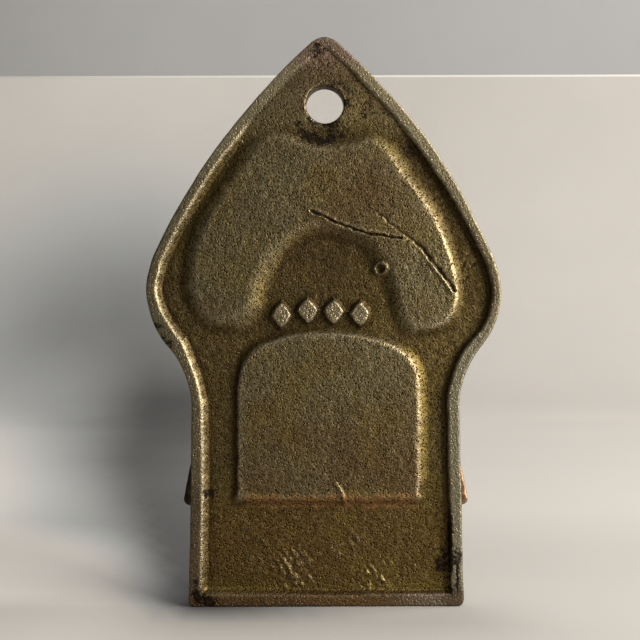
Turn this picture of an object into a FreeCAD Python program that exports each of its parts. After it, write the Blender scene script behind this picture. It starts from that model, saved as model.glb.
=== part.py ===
"""Wall-hanging letter clip: a sand-cast back plate, a sprung front jaw, their hinge pin and a torsion spring.

Frame, in millimetres: the origin is the centre of the hanging hole on the plane that the back rim lies in,
+Z points up to the plate's tip, the front of the clip faces -Y and the wall is on the +Y side.
Heights in the sheet are counted from the plate's foot edge, and depths from the back rim forwards.
"""

import FreeCAD, Part
import math
import os

import Sketcher

App = FreeCAD
V = FreeCAD.Vector

# alias, value in millimetres or degrees, what it is
SIZES = [
    ("plate_height", 108.0, "foot edge to the rounded tip"),
    ("hole_height", 95.0, "foot edge to the centre of the hanging hole"),
    ("hole_radius", 3.6, "hanging hole"),
    ("tip_radius", 4.0, "rounding of the pointed tip"),
    ("ogive_radius", 125.0, "long side arcs of the pointed arch"),
    ("shoulder_radius", 17.0, "rounding at the widest place"),
    ("shoulder_half", 34.0, "half the width across the shoulders"),
    ("shoulder_height", 59.7, "foot edge to the widest place"),
    ("waist_radius", 18.0, "hollow arc below the shoulders"),
    ("waist_half", 25.4, "half the width at the waist"),
    ("side_flare", 0.7, "degrees by which the lower sides spread"),
    ("corner_radius", 1.1, "foot corners"),
    ("field_corner", 0.8, "foot corners of the sunk field and of the border line"),
    ("plate_depth", 3.5, "back rim to front face"),
    ("rim_width", 1.9, "flat of the back rim"),
    ("field_depth", 1.5, "sunk field of the back, below the rim"),
    ("field_slope", 30.0, "degrees of draft on the rim's inner wall"),
    ("pad_drop", 0.3, "raised pads of the back, below the rim"),
    ("tip_drop", 0.4, "land round the hanging hole, below the rim"),
    ("tip_land", 91.0, "foot edge to the lower edge of that land"),
    ("arch_level", 57.8, "foot edge to the centre of the horseshoe's inner arc"),
    ("arch_inner", 14.6, "inside radius of the horseshoe"),
    ("arch_arm", 5.1, "half the width of the horseshoe's arms"),
    ("arch_outer", 29.0, "radius of the horseshoe's outer arcs"),
    ("arch_side", 61.5, "foot edge to the centres of those outer arcs"),
    ("arch_top", 86.6, "foot edge to the top of the horseshoe"),
    ("arch_corner", 2.5, "rounding of the horseshoe's top corners"),
    ("tomb_half", 17.2, "half the width of the lower pad"),
    ("tomb_foot", 20.0, "foot edge to the bottom of the lower pad"),
    ("tomb_top", 50.9, "foot edge to the crown of the lower pad"),
    ("tomb_crown", 25.0, "crown radius of the lower pad"),
    ("tomb_corner", 5.5, "rounding between crown and side of the lower pad"),
    ("front_sink", 1.0, "hollows of the front behind the two pads"),
    ("hollow_inset", 1.2, "how far those hollows stay inside the pads"),
    ("line_inset", 2.2, "outline to the border line cut in the front"),
    ("line_width", 0.7, "width of the border line"),
    ("line_depth", 0.4, "depth of the border line"),
    ("edge_round", 0.45, "softened outer edges of the castings"),
    ("pad_slope", 38.0, "degrees of draft on the pads' sides"),
    ("mark_count", 4, "foundry marks in the row"),
    ("mark_pitch", 5.0, "spacing of the foundry marks"),
    ("mark_half_wide", 2.1, "half the width of a foundry mark"),
    ("mark_half_high", 2.6, "half the height of a foundry mark"),
    ("mark_shift", 0.9, "centre line to the middle of the row, towards +X"),
    ("mark_height", 55.2, "foot edge to the row of foundry marks"),
    ("mark_rise", 0.8, "how far the marks stand up from the field"),
    ("ring_out", 1.35, "outer radius of the small ring mark"),
    ("ring_in", 0.65, "inner radius of the small ring mark"),
    ("ring_rise", 0.6, "how far the ring stands up from the field"),
    ("ring_side", 10.5, "centre line to the ring mark, towards -X"),
    ("ring_height", 63.5, "foot edge to the ring mark"),
    ("hinge_height", 51.0, "foot edge to the hinge axis"),
    ("hinge_depth", 10.5, "back rim to the hinge axis"),
    ("eye_radius", 3.2, "outside radius of the ears and lugs round the pin"),
    ("block_foot", 5.2, "half the length of an ear or lug where it joins its casting"),
    ("lug_root", 2.0, "back rim to the root of the lugs inside the plate"),
    ("ear_root", 15.2, "back rim to the root of the ears inside the jaw"),
    ("pin_radius", 1.5, "hinge pin"),
    ("lug_gap", 0.02, "radial gap of the pin in the plate's lugs, riveted tight"),
    ("ear_gap", 0.06, "radial running gap of the pin in the jaw's ears"),
    ("ear_inside", 9.6, "centre line to the inner face of a jaw ear"),
    ("ear_thick", 2.4, "thickness of a jaw ear"),
    ("lug_inside", 12.3, "centre line to the inner face of a plate lug"),
    ("lug_thick", 3.0, "thickness of a plate lug"),
    ("bore_margin", 1.0, "how far the cut for a bore reaches past its pair of ears or lugs"),
    ("head_radius", 2.3, "riveted heads of the pin"),
    ("head_thick", 0.9, "height of those heads"),
    ("head_edge", 0.35, "straight edge of a head below its dome"),
    ("lip_gap", 0.05, "jaw lip to front face when the clip is shut"),
    ("lip_foot", 18.2, "foot edge to the bottom of the jaw lip"),
    ("lip_land", 2.2, "height of the lip's gripping land"),
    ("lip_bead", 2.4, "thickness of the jaw at its lip"),
    ("jaw_thick", 2.4, "thickness of the jaw plate"),
    ("belly_radius", 49.3, "back of the jaw from its lip up to the hinge"),
    ("thumb_height", 84.0, "foot edge to the end of the thumb piece"),
    ("thumb_lean", 4.3, "how far the end of the thumb piece leans forward"),
    ("thumb_half", 12.5, "half the width of the thumb piece"),
    ("thumb_tip", 4.0, "rounding of the thumb piece's corners"),
    ("mouth_half", 27.5, "half the width of the jaw at its lip"),
    ("mouth_corner", 1.2, "rounding of the lip's corners"),
    ("bell_half", 25.4, "half the width where the flare ends"),
    ("bell_level", 41.0, "foot edge to where the flare ends"),
    ("bell_flare", 400.0, "radius of the flared sides"),
    ("bell_shoulder", 12.5, "radius of the jaw's shoulders"),
    ("trim_margin", 3.0, "how far the trimming cut reaches past the jaw"),
    ("neck_radius", 3.0, "hollow corner between shoulder and thumb piece"),
    ("panel_half", 18.0, "half the width of the sunk panel"),
    ("panel_sink", 0.6, "depth of the sunk panel"),
    ("panel_foot", 24.5, "foot edge to the bottom of the sunk panel"),
    ("panel_top", 45.0, "foot edge to the top of the sunk panel"),
    ("groove_count", 5, "grooves across the thumb piece"),
    ("groove_first", 68.0, "foot edge to the lowest groove of the thumb piece"),
    ("groove_pitch", 2.6, "spacing of those grooves"),
    ("groove_radius", 0.7, "rounding of those grooves"),
    ("groove_proud", 0.25, "groove centres in front of the surface"),
    ("groove_half", 8.5, "half the length of those grooves"),
    ("wire_radius", 0.6, "spring wire"),
    ("bend_radius", 0.63, "the wire where it bends, slightly swollen"),
    ("coil_radius", 2.3, "mean radius of the coils"),
    ("coil_pitch", 1.32, "spacing of the turns"),
    ("coil_whole_turns", 4, "whole turns in each of the two coils"),
    ("coil_start", 2.4, "centre line to the first turn"),
    ("leg_length", 14.0, "straight legs of the spring"),
    ("plate_leg_lean", 17.3, "degrees that the outer legs lean towards the plate"),
    ("thumb_leg_lean", 6.0, "degrees that the inner legs lean towards the thumb piece"),
]
VALUES = {alias: value for alias, value, _note in SIZES}


def make_sheet(doc):
    """Writes the driving dimensions, one alias per row."""
    sheet = doc.addObject("Spreadsheet::Sheet", "sizes")
    for row, (alias, value, note) in enumerate(SIZES, 1):
        sheet.set(f"A{row}", alias)
        sheet.set(f"B{row}", str(value))
        sheet.set(f"C{row}", note)
        sheet.setAlias(f"B{row}", alias)
    doc.recompute()


def size(alias):
    return VALUES[alias]


def level(alias):
    """A height above the foot edge as a Z coordinate."""
    return size(alias) - size("hole_height")


def sheet_name(words):
    """Turns the aliases in a formula into references to the sheet."""
    out = []
    for word in words.split():
        out.append(f"sizes.{word}" if word in VALUES else word)
    return " ".join(out)


# ---------------------------------------------------------------- sketch helpers

# a sketch's numbers for the ends of an element and for its own axes and origin
START, END, CENTRE = 1, 2, 3
LEVEL_LINE, MIRROR_LINE = -1, -2
ORIGIN = (LEVEL_LINE, START)

# lengths below ON_AXIS count as none; an edge this near a place counts as lying there
ON_AXIS = 1e-6
NEAR_SIDE = 1.5
NEAR_LEVEL = 0.5


def body_sketch(body, name, role, shift=None):
    """An empty sketch on one of the body's own origin planes, moved along its normal by a formula."""
    sketch = body.newObject("Sketcher::SketchObject", name)
    plane = [f for f in body.Origin.OriginFeatures if f.Role == role][0]
    sketch.AttachmentSupport = [(plane, "")]
    sketch.MapMode = "FlatFace"
    if shift:
        sketch.setExpression("AttachmentOffset.Base.z", sheet_name(shift))
    return sketch


def drive(sketch, constraint, formula):
    """Adds a dimension and binds it to the sheet."""
    index = sketch.addConstraint(constraint)
    sketch.setExpression(f"Constraints[{index}]", sheet_name(formula))


def arc(centre, radius, start_deg, end_deg):
    """An arc that runs anticlockwise between two directions."""
    circle = Part.Circle(V(centre[0], centre[1], 0), V(0, 0, 1), radius)
    return Part.ArcOfCircle(circle, math.radians(start_deg), math.radians(end_deg))


def line(start, end):
    return Part.LineSegment(V(start[0], start[1], 0), V(end[0], end[1], 0))


def direction(start, end):
    """Direction from one point to another, in degrees."""
    return math.degrees(math.atan2(end[1] - start[1], end[0] - start[0]))


def polar(centre, radius, angle_deg):
    a = math.radians(angle_deg)
    return (centre[0] + radius * math.cos(a), centre[1] + radius * math.sin(a))


def circle_centre(centre_a, reach_a, centre_b, reach_b, side):
    """Centre at given distances from two points; side is 1 for left of a to b and -1 for right."""
    ax, ay = centre_a
    bx, by = centre_b
    gap = math.hypot(bx - ax, by - ay)
    along = (gap * gap + reach_a * reach_a - reach_b * reach_b) / (2 * gap)
    across = math.sqrt(reach_a * reach_a - along * along) * side
    ux, uy = (bx - ax) / gap, (by - ay) / gap
    return (ax + ux * along - uy * across, ay + uy * along + ux * across)


def tangent(sketch, first, first_end, second, second_end):
    sketch.addConstraint(Sketcher.Constraint("Tangent", first, first_end, second, second_end))


def joined(sketch, first, first_end, second, second_end):
    sketch.addConstraint(Sketcher.Constraint("Coincident", first, first_end, second, second_end))


def on_axis(sketch, element, point):
    """Holds a point on the sketch's vertical axis, the clip's plane of symmetry."""
    sketch.addConstraint(Sketcher.Constraint("PointOnObject", element, point, MIRROR_LINE))


def flipped(point):
    return V(-point.x, point.y, 0)


def mirrored(shape):
    """The same line or arc on the other side of the vertical axis."""
    if isinstance(shape, Part.LineSegment):
        return Part.LineSegment(flipped(shape.StartPoint), flipped(shape.EndPoint))
    circle = Part.Circle(flipped(shape.Center), V(0, 0, 1), shape.Radius)
    start = circle.parameter(flipped(shape.EndPoint))
    end = circle.parameter(flipped(shape.StartPoint))
    return Part.ArcOfCircle(circle, start, end)


def pair(sketch, element, end, twin, twin_end):
    """Ties one end of an element to its mirror image; an end on the axis is its own image."""
    shape = sketch.Geometry[element]
    point = shape.StartPoint if end == START else shape.EndPoint
    if abs(point.x) < ON_AXIS:
        sketch.addConstraint(Sketcher.Constraint("Coincident", element, end, twin, twin_end))
    else:
        sketch.addConstraint(Sketcher.Constraint("Symmetric", element, end, twin, twin_end, MIRROR_LINE))


def add_left_half(sketch, half):
    """Repeats a half outline across the sketch's vertical axis, held symmetric by constraints."""
    for element in half:
        shape = sketch.Geometry[element]
        is_line = isinstance(shape, Part.LineSegment)
        twin = sketch.addGeometry(mirrored(shape))
        pair(sketch, element, START, twin, START if is_line else END)
        pair(sketch, element, END, twin, END if is_line else START)
        if not is_line:
            sketch.addConstraint(Sketcher.Constraint("Equal", element, twin))


def above_origin(sketch, element, point, formula, value):
    drive(sketch, Sketcher.Constraint("DistanceY", *ORIGIN, element, point, value), formula)


def below_origin(sketch, element, point, formula, value):
    drive(sketch, Sketcher.Constraint("DistanceY", element, point, *ORIGIN, value), formula)


def right_of_origin(sketch, element, point, formula, value):
    drive(sketch, Sketcher.Constraint("DistanceX", *ORIGIN, element, point, value), formula)


def radius(sketch, element, formula, value):
    drive(sketch, Sketcher.Constraint("Radius", element, value), formula)


# ---------------------------------------------------------------- plate outline


def outline_centres():
    """Centres of the outline's four arcs, from the tip down."""
    tip = (0.0, level("plate_height") - size("tip_radius"))
    shoulder = (size("shoulder_half") - size("shoulder_radius"), level("shoulder_height"))
    long_reach = size("ogive_radius")
    ogive = circle_centre(
        tip, long_reach - size("tip_radius"), shoulder, long_reach - size("shoulder_radius"), -1
    )
    waist_x = size("waist_half") + size("waist_radius")
    reach = size("shoulder_radius") + size("waist_radius")
    waist = (waist_x, shoulder[1] - math.sqrt(reach**2 - (waist_x - shoulder[0]) ** 2))
    return tip, ogive, shoulder, waist


def draw_plate_outline(sketch, inset="0", inset_value=0.0, corner="corner_radius"):
    """The plate's outline, drawn inset from its edge: the right half, then its mirror image."""
    d = inset_value
    tip, ogive, shoulder, waist = outline_centres()
    flare = size("side_flare")
    top_angle = direction(ogive, tip)
    side_angle = direction(ogive, shoulder)
    low_angle = direction(shoulder, waist)
    waist_end = polar(waist, size("waist_radius") + d, 180 + flare)
    foot = -size("hole_height") + d
    r = size(corner)
    run = (waist_end[1] - foot - r) * math.tan(math.radians(flare))
    side_end = (waist_end[0] + run, foot + r)
    corner_centre = (side_end[0] - r, foot + r)
    shapes = [
        arc(tip, size("tip_radius") - d, top_angle, 90),
        arc(ogive, size("ogive_radius") - d, side_angle, top_angle),
        arc(shoulder, size("shoulder_radius") - d, low_angle, side_angle),
        arc(waist, size("waist_radius") + d, low_angle + 180, 180 + flare),
        line(side_end, waist_end),
        arc(corner_centre, r, -90, flare),
        line((corner_centre[0], foot), (0, foot)),
    ]
    half = sketch.addGeometry(shapes)
    tip_arc, long_arc, shoulder_arc, waist_arc, side, corner_arc, foot_line = half
    tangent(sketch, tip_arc, START, long_arc, END)
    tangent(sketch, long_arc, START, shoulder_arc, END)
    tangent(sketch, shoulder_arc, START, waist_arc, START)
    tangent(sketch, waist_arc, END, side, END)
    tangent(sketch, side, START, corner_arc, END)
    tangent(sketch, corner_arc, START, foot_line, START)
    on_axis(sketch, foot_line, END)
    on_axis(sketch, tip_arc, END)
    on_axis(sketch, tip_arc, CENTRE)
    sketch.addConstraint(Sketcher.Constraint("Horizontal", foot_line))
    radius(sketch, tip_arc, f"tip_radius - {inset}", size("tip_radius") - d)
    radius(sketch, long_arc, f"ogive_radius - {inset}", size("ogive_radius") - d)
    radius(sketch, shoulder_arc, f"shoulder_radius - {inset}", size("shoulder_radius") - d)
    radius(sketch, waist_arc, f"waist_radius + {inset}", size("waist_radius") + d)
    radius(sketch, corner_arc, corner, r)
    above_origin(sketch, tip_arc, END, f"plate_height - hole_height - {inset}", level("plate_height") - d)
    right_of_origin(sketch, shoulder_arc, CENTRE, "shoulder_half - shoulder_radius", shoulder[0])
    below_origin(sketch, shoulder_arc, CENTRE, "hole_height - shoulder_height", -shoulder[1])
    right_of_origin(sketch, waist_arc, CENTRE, "waist_half + waist_radius", waist[0])
    below_origin(sketch, foot_line, START, f"hole_height - {inset}", -foot)
    angle = math.radians(90 + flare)
    drive(sketch, Sketcher.Constraint("Angle", side, angle), "90 + side_flare")
    add_left_half(sketch, half)


def hold_by_shoulder(sketch, long_arc, shoulder):
    """Places a side arc by its distance from the centre of the shoulder's rounding."""
    centre = sketch.addGeometry(Part.Point(V(shoulder[0], shoulder[1], 0)), True)
    right_of_origin(sketch, centre, START, "shoulder_half - shoulder_radius", shoulder[0])
    below_origin(sketch, centre, START, "hole_height - shoulder_height", -shoulder[1])
    reach = size("ogive_radius") - size("shoulder_radius")
    apart = Sketcher.Constraint("Distance", long_arc, CENTRE, centre, START, reach)
    drive(sketch, apart, "ogive_radius - shoulder_radius")


def draw_tip_land(sketch):
    """The land round the hanging hole: the tip of the outline above a level line."""
    tip, ogive, shoulder, _waist = outline_centres()
    d = size("rim_width")
    foot = level("tip_land")
    top_angle = direction(ogive, tip)
    reach = size("ogive_radius") - d
    low_angle = math.degrees(math.asin((foot - ogive[1]) / reach))
    low_end = polar(ogive, reach, low_angle)
    shapes = [
        arc(tip, size("tip_radius") - d, top_angle, 90),
        arc(ogive, reach, low_angle, top_angle),
        line(low_end, (0, foot)),
    ]
    half = sketch.addGeometry(shapes)
    tip_arc, long_arc, foot_line = half
    tangent(sketch, tip_arc, START, long_arc, END)
    joined(sketch, long_arc, START, foot_line, START)
    on_axis(sketch, foot_line, END)
    on_axis(sketch, tip_arc, END)
    on_axis(sketch, tip_arc, CENTRE)
    sketch.addConstraint(Sketcher.Constraint("Horizontal", foot_line))
    radius(sketch, tip_arc, "tip_radius - rim_width", size("tip_radius") - d)
    radius(sketch, long_arc, "ogive_radius - rim_width", reach)
    above_origin(sketch, tip_arc, END, "plate_height - hole_height - rim_width", level("plate_height") - d)
    below_origin(sketch, foot_line, END, "hole_height - tip_land", -foot)
    hold_by_shoulder(sketch, long_arc, shoulder)
    add_left_half(sketch, half)


def draw_horseshoe(sketch, inset="0", inset_value=0.0):
    """The horseshoe: arcs struck from one level, joined by round arm ends, and a flat top."""
    d = inset_value
    base = level("arch_level")
    inner = size("arch_inner") + d
    arm = size("arch_arm") - d
    outer = size("arch_outer") - d
    corner = size("arch_corner")
    arm_centre = (size("arch_inner") + size("arch_arm"), base)
    side = level("arch_side")
    outer_x = arm_centre[0] - math.sqrt((outer - arm) ** 2 - (side - base) ** 2)
    outer_centre = (outer_x, side)
    arm_angle = direction(outer_centre, arm_centre)
    top = level("arch_top") - d
    rise = top - corner - side
    corner_x = outer_centre[0] + math.sqrt((outer - corner) ** 2 - rise**2)
    corner_centre = (corner_x, top - corner)
    corner_angle = direction(outer_centre, corner_centre)
    shapes = [
        line((0, top), (corner_x, top)),
        arc(corner_centre, corner, corner_angle, 90),
        arc(outer_centre, outer, arm_angle, corner_angle),
        arc(arm_centre, arm, -180, arm_angle),
        arc((0, base), inner, 0, 90),
    ]
    half = sketch.addGeometry(shapes)
    top_line, corner_arc, outer_arc, arm_arc, inner_arc = half
    tangent(sketch, top_line, END, corner_arc, END)
    tangent(sketch, corner_arc, START, outer_arc, END)
    tangent(sketch, outer_arc, START, arm_arc, END)
    tangent(sketch, arm_arc, START, inner_arc, START)
    on_axis(sketch, top_line, START)
    on_axis(sketch, inner_arc, END)
    on_axis(sketch, inner_arc, CENTRE)
    sketch.addConstraint(Sketcher.Constraint("Horizontal", top_line))
    sketch.addConstraint(Sketcher.Constraint("Horizontal", inner_arc, CENTRE, arm_arc, CENTRE))
    radius(sketch, corner_arc, "arch_corner", corner)
    radius(sketch, outer_arc, f"arch_outer - {inset}", outer)
    radius(sketch, arm_arc, f"arch_arm - {inset}", arm)
    radius(sketch, inner_arc, f"arch_inner + {inset}", inner)
    below_origin(sketch, inner_arc, CENTRE, "hole_height - arch_level", -base)
    below_origin(sketch, outer_arc, CENTRE, "hole_height - arch_side", -side)
    below_origin(sketch, top_line, START, f"hole_height - arch_top + {inset}", -top)
    add_left_half(sketch, half)


def draw_tombstone(sketch, inset="0", inset_value=0.0):
    """The lower pad: square foot, straight sides and a shallow crown."""
    d = inset_value
    wide = size("tomb_half") - d
    crown = size("tomb_crown") - d
    corner = size("tomb_corner") - d
    foot = level("tomb_foot") + d
    crown_centre = (0.0, level("tomb_top") - size("tomb_crown"))
    across = wide - corner
    corner_centre = (across, crown_centre[1] + math.sqrt((crown - corner) ** 2 - across**2))
    split = direction(crown_centre, corner_centre)
    shapes = [
        arc(crown_centre, crown, split, 90),
        arc(corner_centre, corner, 0, split),
        line((wide, corner_centre[1]), (wide, foot)),
        line((wide, foot), (0, foot)),
    ]
    half = sketch.addGeometry(shapes)
    crown_arc, corner_arc, side, foot_line = half
    tangent(sketch, crown_arc, START, corner_arc, END)
    tangent(sketch, corner_arc, START, side, START)
    joined(sketch, side, END, foot_line, START)
    on_axis(sketch, foot_line, END)
    on_axis(sketch, crown_arc, END)
    on_axis(sketch, crown_arc, CENTRE)
    sketch.addConstraint(Sketcher.Constraint("Horizontal", foot_line))
    sketch.addConstraint(Sketcher.Constraint("Vertical", side))
    radius(sketch, crown_arc, f"tomb_crown - {inset}", crown)
    radius(sketch, corner_arc, f"tomb_corner - {inset}", corner)
    right_of_origin(sketch, side, END, f"tomb_half - {inset}", wide)
    below_origin(sketch, foot_line, END, f"hole_height - tomb_foot - {inset}", -foot)
    below_origin(sketch, crown_arc, END, f"hole_height - tomb_top + {inset}", -(crown_centre[1] + crown))
    add_left_half(sketch, half)


# ---------------------------------------------------------------- part design helpers


def origin_plane(body, role):
    return [f for f in body.Origin.OriginFeatures if f.Role == role][0]


def pad(body, sketch, length, name, taper=None, midplane=False):
    """Adds material along the sketch's normal, or to both sides of it."""
    feature = body.newObject("PartDesign::Pad", name)
    feature.Profile = sketch
    feature.Midplane = midplane
    feature.setExpression("Length", sheet_name(length))
    if taper:
        feature.setExpression("TaperAngle", sheet_name(taper))
    return feature


def pocket(body, sketch, length, name, reverse=False, taper=None, midplane=False):
    """Cuts against the sketch's normal, along it if reverse, or both ways; no length cuts right through."""
    feature = body.newObject("PartDesign::Pocket", name)
    feature.Profile = sketch
    feature.Reversed = reverse
    feature.Midplane = midplane
    if length is None:
        feature.Type = "ThroughAll"
    else:
        feature.setExpression("Length", sheet_name(length))
    if taper:
        feature.setExpression("TaperAngle", sheet_name(taper))
    return feature


def mirror(body, originals, name):
    """Repeats features across the clip's plane of symmetry."""
    feature = body.newObject("PartDesign::Mirrored", name)
    feature.Originals = originals
    feature.MirrorPlane = (origin_plane(body, "YZ_Plane"), [""])
    body.Tip = feature
    return feature


def row_of(body, original, count, pitch, name):
    """Repeats a feature along X; the pattern's length is the distance from first to last."""
    feature = body.newObject("PartDesign::LinearPattern", name)
    feature.Originals = [original]
    axis = [f for f in body.Origin.OriginFeatures if f.Role == "X_Axis"][0]
    feature.Direction = (axis, [""])
    feature.setExpression("Length", sheet_name(f"( {count} - 1 ) * {pitch}"))
    feature.setExpression("Occurrences", sheet_name(count))
    body.Tip = feature
    return feature


def round_edges(body, radius_formula, name, keep):
    """Fillets the edges of the body's last feature that pass a test."""
    base = body.Tip
    feature = body.newObject("PartDesign::Fillet", name)
    names = [f"Edge{i}" for i, edge in enumerate(base.Shape.Edges, 1) if keep(edge)]
    feature.Base = (base, names)
    feature.setExpression("Radius", sheet_name(radius_formula))
    return feature


def circle_sketch(body, name, role, x, y, radius_formula, shift=None):
    """A circle whose centre is given by two formulas, each with its sign and value worked out here."""
    sketch = body_sketch(body, name, role, shift)
    r = value_of(radius_formula)
    at = (value_of(x), value_of(y))
    circle = sketch.addGeometry(Part.Circle(V(at[0], at[1], 0), V(0, 0, 1), r))
    radius(sketch, circle, radius_formula, r)
    place(sketch, circle, CENTRE, x, y)
    return sketch


def value_of(formula):
    """The number that a formula of aliases stands for."""
    total = 0.0
    sign = 1
    for word in formula.split():
        if word in ("+", "-"):
            sign = 1 if word == "+" else -1
        else:
            total += sign * (VALUES[word] if word in VALUES else float(word))
    return total


def negated(formula):
    """The same formula with every sign turned round."""
    flip = {"+": "-", "-": "+"}
    words = formula.split()
    if words[0] not in flip:
        words.insert(0, "+")
    words = [flip.get(word, word) for word in words]
    return " ".join(words[1:] if words[0] == "+" else words)


def place(sketch, element, point, x, y):
    """Holds a point at two formulas measured from the sketch's origin, whichever side they lie on."""
    for kind, formula in (("DistanceX", x), ("DistanceY", y)):
        value = value_of(formula)
        if abs(value) < ON_AXIS:
            axis = MIRROR_LINE if kind == "DistanceX" else LEVEL_LINE
            sketch.addConstraint(Sketcher.Constraint("PointOnObject", element, point, axis))
        elif value > 0:
            drive(sketch, Sketcher.Constraint(kind, *ORIGIN, element, point, value), formula)
        else:
            drive(sketch, Sketcher.Constraint(kind, element, point, *ORIGIN, -value), negated(formula))


# ---------------------------------------------------------------- ears and lugs


def draw_hinge_block(sketch, root):
    """Side view of an ear or lug: round the pin, with straight sides down to its root; root is a formula."""
    hinge = ("- hinge_depth", "hinge_height - hole_height")
    centre = (value_of(hinge[0]), value_of(hinge[1]))
    r = size("eye_radius")
    base = value_of(root)
    half = size("block_foot")
    side = 1 if base > centre[0] else -1
    reach = math.hypot(base - centre[0], half)
    turn = math.degrees(math.acos(r / reach))
    up = direction(centre, (base, centre[1] + half))
    touch = polar(centre, r, up + side * turn)
    touch_low = (touch[0], 2 * centre[1] - touch[1])
    corner = (base, centre[1] + half)
    corner_low = (base, centre[1] - half)
    first, last = (touch, touch_low) if side > 0 else (touch_low, touch)
    eye = arc(centre, r, direction(centre, first), direction(centre, last))
    upper, lower = line(corner, touch), line(corner_low, touch_low)
    eye_arc, upper, lower, root_line = sketch.addGeometry([eye, upper, lower, line(corner, corner_low)])
    tangent(sketch, upper, END, eye_arc, START if side > 0 else END)
    tangent(sketch, lower, END, eye_arc, END if side > 0 else START)
    joined(sketch, upper, START, root_line, START)
    joined(sketch, lower, START, root_line, END)
    sketch.addConstraint(Sketcher.Constraint("Vertical", root_line))
    place(sketch, eye_arc, CENTRE, *hinge)
    radius(sketch, eye_arc, "eye_radius", r)
    place(sketch, root_line, START, root, "hinge_height - hole_height + block_foot")
    span = Sketcher.Constraint("DistanceY", root_line, END, root_line, START, 2 * half)
    drive(sketch, span, "2 * block_foot")


def hinge_blocks(body, name, inside, thick, root, bore_gap):
    """A pair of ears or lugs, mirrored across the clip, with the bore for the pin."""
    sketch = body_sketch(body, name + "_profile", "YZ_Plane", inside)
    draw_hinge_block(sketch, root)
    block = pad(body, sketch, thick, name + "_block")
    mirror(body, [block], name + "_pair")
    hinge = ("- hinge_depth", "hinge_height - hole_height")
    bore = circle_sketch(body, name + "_bore_circle", "YZ_Plane", *hinge, f"pin_radius + {bore_gap}")
    pocket(body, bore, f"2 * ( {inside} + {thick} + bore_margin )", name + "_bore", midplane=True)


# ---------------------------------------------------------------- back plate


def draw_lozenge(sketch):
    """The first foundry mark of the row, a diamond standing on its point."""
    count, pitch = size("mark_count"), size("mark_pitch")
    wide, high = size("mark_half_wide"), size("mark_half_high")
    x = size("mark_shift") - (count - 1) / 2 * pitch
    z = level("mark_height")
    points = [(x + wide, z), (x, z + high), (x - wide, z), (x, z - high)]
    sides = [line(points[i], points[(i + 1) % 4]) for i in range(4)]
    ids = sketch.addGeometry(sides)
    for i in range(4):
        joined(sketch, ids[i], END, ids[(i + 1) % 4], START)
    middle = sketch.addGeometry(Part.Point(V(x, z, 0)), True)
    aside = Sketcher.Constraint("DistanceX", middle, START, *ORIGIN, -x)
    drive(sketch, aside, "( mark_count - 1 ) / 2 * mark_pitch - mark_shift")
    below_origin(sketch, middle, START, "hole_height - mark_height", -z)
    sketch.addConstraint(Sketcher.Constraint("Symmetric", ids[0], START, ids[2], START, middle, START))
    sketch.addConstraint(Sketcher.Constraint("Symmetric", ids[1], START, ids[3], START, middle, START))
    sketch.addConstraint(Sketcher.Constraint("Horizontal", ids[2], START, ids[0], START))
    sketch.addConstraint(Sketcher.Constraint("Vertical", ids[3], START, ids[1], START))
    across = Sketcher.Constraint("DistanceX", ids[2], START, ids[0], START, 2 * wide)
    upright = Sketcher.Constraint("DistanceY", ids[3], START, ids[1], START, 2 * high)
    drive(sketch, across, "2 * mark_half_wide")
    drive(sketch, upright, "2 * mark_half_high")


def is_face_outline(edge):
    """True for an edge that lies in one of the plate's two faces."""
    return edge.BoundBox.YLength < ON_AXIS


def raised(body, draw, name, drop):
    """A drafted pad of the back: its top lies a given depth below the rim and it runs into the web."""
    sketch = body_sketch(body, name + "_outline", "XZ_Plane", drop)
    draw(sketch)
    return pad(body, sketch, f"field_depth - {drop}", name, taper="pad_slope")


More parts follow.
